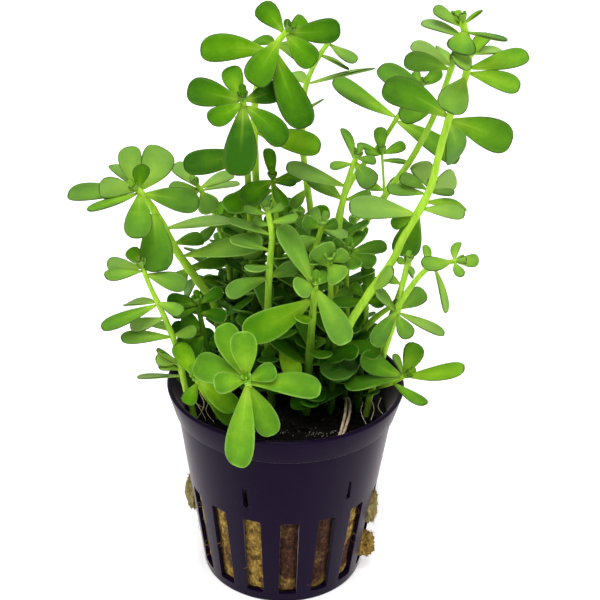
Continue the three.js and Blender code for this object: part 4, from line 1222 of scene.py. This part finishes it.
grow_shoot("right_middle_shoot", tone=0.36, painted_sheen=0.05, thickness=1.6, filled=(395, 345, 23), stem=[
    (358, 406, -3), (362, 350, -3.5), (366, 318, -4.5), (366, 298, -6),
], branches=[
    [(363, 330, -4), (375, 318, -6), (386, 310, -7.5), (391, 307, -8)],
], leaves=[
    (366, 300, 334, 303, 13, 6), (366, 298, 367, 265, 13, -4), (366, 298, 352, 284, 10, 0),
    (366, 300, 385, 304, 11, 6), (363, 335, 348, 330, 11, 1.5), (363, 335, 379, 326, 10, -1),
    (359, 358, 326, 375, 21, 14, 0.1, 0.2), (359, 380, 290, 405, 18, 4),
])

grow_shoot("bundle_shoot", tone=0.6, thickness=1.6, filled=(390, 350, 23), stem=[
    (294, 394, 0), (288, 370, -3), (280, 345, -5), (276, 330, -6),
], leaves=[
    (277, 334, 262, 318, 13, -3), (278, 338, 296, 378, 20, 6, 0.35), (277, 332, 286, 312, 11, -5),
    (286, 364, 303, 374, 11, 0), (279, 342, 264, 360, 12, 5),
])

grow_shoot("inner_right_shoot", tone=0.2, thickness=1.6, filled=(390, 375), stem=[
    (318, 398, -2), (322, 372, -5), (328, 345, -8), (330, 332, -9),
], leaves=[
    (329, 336, 342, 318, 9, -0.2), (324, 366, 350, 376, 14, 6), (328, 340, 284, 344, 26, -4),
    (326, 352, 358, 354, 15, 7),
])


# Front rosette. A short stem that leans over the front of the rim and opens flat, with the brightest
# leaves of the plant spread like a star.

grow_shoot("front_rosette_shoot", tone=0.54, painted_sheen=0.06, stem=[
    (256, 418, -12), (254, 404, -18), (250, 390, -25), (247, 380, -28),
], leaves=[
    (246, 380, 222, 324, 27, -4), (247, 379, 242, 332, 27, 1), (246, 381, 214, 384, 20, 4),
    (248, 380, 276, 370, 18, 0), (248, 382, 321, 390, 26, 3), (247, 382, 236, 467, 29, 4),
    (248, 384, 272, 436, 26, 1), (246, 379, 194, 362, 31, -5),
])


# Left shoots. A stout stem that leans out to the left with a full head of leaves, and thinner ones
# below and behind it.

grow_shoot("left_shoot", tone=0.66, painted_sheen=0.1, thickness=2.2, filled=(375, 310), stem=[
    (226, 384, 5), (222, 340, 3), (214, 303, 1), (205, 290, 0), (190, 270, -1), (175, 248, -3),
    (160, 220, -5), (147, 200, -7), (138, 190, -8),
], leaves=[
    (136, 191, 67, 193, 17, -1, -0.25, 0.1), (137, 190, 99, 189, 20, 3, -0.05, 0.3),
    (138, 193, 88, 210, 11, 8, -0.2), (138, 190, 129, 146, 24, -5, 0, 0.2),
    (137, 190, 113, 164, 15, -9, 0, 0.2), (140, 191, 163, 147, 34, -6, 0, 0.2),
    (139, 190, 143, 165, 15, 1, -0.25, -0.1), (141, 194, 199, 204, 25, 4, -0.4),
    (137, 194, 137, 238, 28, 10, -0.3), (151, 211, 157, 272, 34, 9, -0.35, -0.05),
    (166, 226, 231, 220, 15, -2, -0.1, 0.4), (180, 256, 263, 241, 17, 0, 0, 0.15),
    (188, 268, 172, 286, 18, -4, -0.25), (192, 272, 208, 261, 7, -9, 0.3),
    (172, 244, 204, 238, 13, -5, -0.25), (188, 266, 226, 260, 12, -3, -0.15),
    (196, 279, 222, 281, 10, -4, -0.3), (196, 279, 184, 298, 12, -6, -0.3),
])

grow_shoot("left_low_shoot", tone=0.66, painted_sheen=0.22, sunlit=0.1, thickness=1.5, stem=[
    (194, 413, -8), (186, 390, -10), (177, 350, -12), (168, 325, -13), (158, 303, -14), (149, 284, -14),
    (143, 268, -14),
], leaves=[
    (143, 268, 129, 249, 14, -5, -0.3, -0.2), (143, 268, 107, 263, 14, 2, 0, 0.2),
    (143, 271, 105, 277, 10, 6), (146, 274, 187, 285, 20, 1, -0.2), (144, 268, 168, 262, 13, -6),
    (155, 305, 101, 328, 15, 5, -0.25, -0.1), (155, 302, 125, 303, 10, -6, 0, 0.2),
    (156, 302, 181, 314, 12, 6), (174, 336, 121, 339, 14, 5), (163, 318, 130, 327, 12, 1, 0, 0.3),
    (170, 330, 152, 322, 9, -8), (172, 336, 196, 330, 12, 2), (180, 362, 156, 358, 13, 3, 0.35, 0.2),
    (182, 375, 137, 377, 4, 3, -0.1, 0.5), (181, 366, 157, 350, 6, 2, 0.4, 0.2),
    (182, 369, 159, 367, 7, 3, 0.45, 0.1),
])

grow_shoot("left_upper_shoot", tone=0.35, thickness=1.6, filled=(370, 240), stem=[
    (285, 376, 9), (281, 300, 6), (277, 230, 5), (273, 180, 4),
], leaves=[
    (273, 180, 268, 148, 12, -4), (273, 180, 303, 174, 12, -2), (273, 182, 295, 184, 6, 4),
    (273, 180, 243, 201, 23, 9, -0.15), (273, 183, 283, 206, 12, 8), (274, 200, 292, 214, 12, -7),
    (275, 188, 224, 207, 22, 8.5, 0.05),
])

grow_shoot("left_middle_shoot", tone=0.44, painted_sheen=0.25, thickness=1.6, filled=(375, 240), stem=[
    (236, 382, 7), (234, 320, 9), (228, 260, 10), (215, 215, 10), (198, 186, 10),
], leaves=[
    (199, 188, 174, 164, 14, -4, 0.1, 0.2), (199, 188, 233, 173, 12, -6, 0.2, 0.2),
    (200, 190, 213, 211, 20, 6), (200, 190, 169, 188, 13, 2), (203, 189, 240, 183, 5, -2, 0.2, 0.3),
    (200, 190, 183, 199, 10, 4), (218, 224, 250, 193, 20, -4, -0.2, -0.3), (218, 224, 200, 240, 10, 4),
    (229, 262, 250, 252, 12, -6), (229, 262, 212, 250, 11, -6),
])

grow_shoot("left_under_shoot", tone=0.21, thickness=1.7, filled=(390, 345, 23), stem=[
    (216, 398, -2), (210, 360, -5), (203, 330, -7), (198, 304, -8),
], leaves=[
    (198, 304, 167, 299, 12, 0), (198, 304, 165, 306, 8, 4), (198, 304, 222, 290, 12, -3),
    (199, 306, 174, 317, 11, 6), (200, 312, 226, 318, 13, 5), (204, 334, 192, 358, 13, 7),
    (206, 344, 222, 340, 12, 2), (204, 334, 172, 326, 14, 2), (205, 340, 177, 343, 12, 4),
    (203, 330, 182, 319, 17, 3), (206, 345, 190, 370, 15, 5), (203, 332, 176, 332, 15, 1),
    (206, 350, 186, 352, 13, 4), (205, 345, 178, 354, 11, 2), (199, 310, 184, 302, 12, -4),
])

grow_shoot("rim_left_shoot", tone=0.62, sunlit=0.2, thickness=1.6, stem=[
    (220, 412, -8), (206, 396, -13), (196, 378, -17),
], leaves=[
    (196, 380, 177, 343, 20, -3), (197, 380, 237, 409, 22, 3), (197, 382, 186, 404, 14, 3),
    (204, 394, 232, 424, 14, 4), (200, 386, 222, 372, 14, -5),
])


# Back shoots. Shorter stems behind the others, which the front view hides for the most part. Their
# leaves are guessed, in the plant's own habit.

grow_shoot("back_left_shoot", tone=0.35, thickness=1.8, filled=(350, 260), stem=[
    (246, 360, 16), (240, 300, 20), (236, 250, 23), (236, 214, 24),
], leaves=[
    (236, 216, 226, 238, 16, 8), (236, 214, 250, 200, 16, -6), (236, 214, 216, 206, 14, -6),
    (236, 214, 240, 200, 16, -13), (236, 250, 262, 262, 17, -4), (236, 250, 210, 256, 14, -5),
    (240, 296, 232, 286, 16, -13), (241, 304, 262, 316, 16, 3),
])

grow_shoot("back_middle_shoot", tone=0.35, thickness=1.8, filled=(350, 265), stem=[
    (294, 357, 18), (296, 300, 22), (298, 250, 25), (300, 218, 26),
], leaves=[
    (300, 218, 330, 212, 15, 0), (300, 218, 268, 203, 16, 2), (300, 218, 292, 204, 15, -12),
    (300, 220, 308, 240, 16, 8), (298, 256, 276, 266, 16, -3), (298, 256, 318, 260, 16, -6),
    (296, 300, 290, 290, 17, -14), (296, 304, 312, 322, 16, 6),
])

grow_shoot("back_right_shoot", tone=0.35, thickness=1.8, filled=(350, 300), stem=[
    (334, 358, 17), (340, 300, 22), (346, 256, 26), (352, 226, 28),
], leaves=[
    (352, 226, 366, 236, 15, 2), (352, 226, 336, 222, 14, -4), (352, 226, 358, 212, 14, -12),
    (347, 258, 330, 262, 16, -4), (347, 258, 362, 262, 14, -8), (341, 296, 336, 284, 16, -14),
    (341, 300, 356, 316, 15, 4),
])

grow_shoot("back_low_shoot", tone=0.35, thickness=1.7, filled=(345, 300), stem=[
    (272, 353, 20), (266, 320, 25), (262, 292, 30), (262, 276, 33),
], leaves=[
    (262, 276, 244, 276, 16, -2), (262, 276, 280, 280, 16, -2), (262, 276, 260, 266, 15, -12),
    (262, 278, 266, 298, 15, 6), (264, 308, 246, 310, 15, -7), (264, 308, 284, 314, 15, -5),
])

for pattern in (leaf_pattern, big_leaf_pattern):
    bpy.data.objects.remove(pattern)
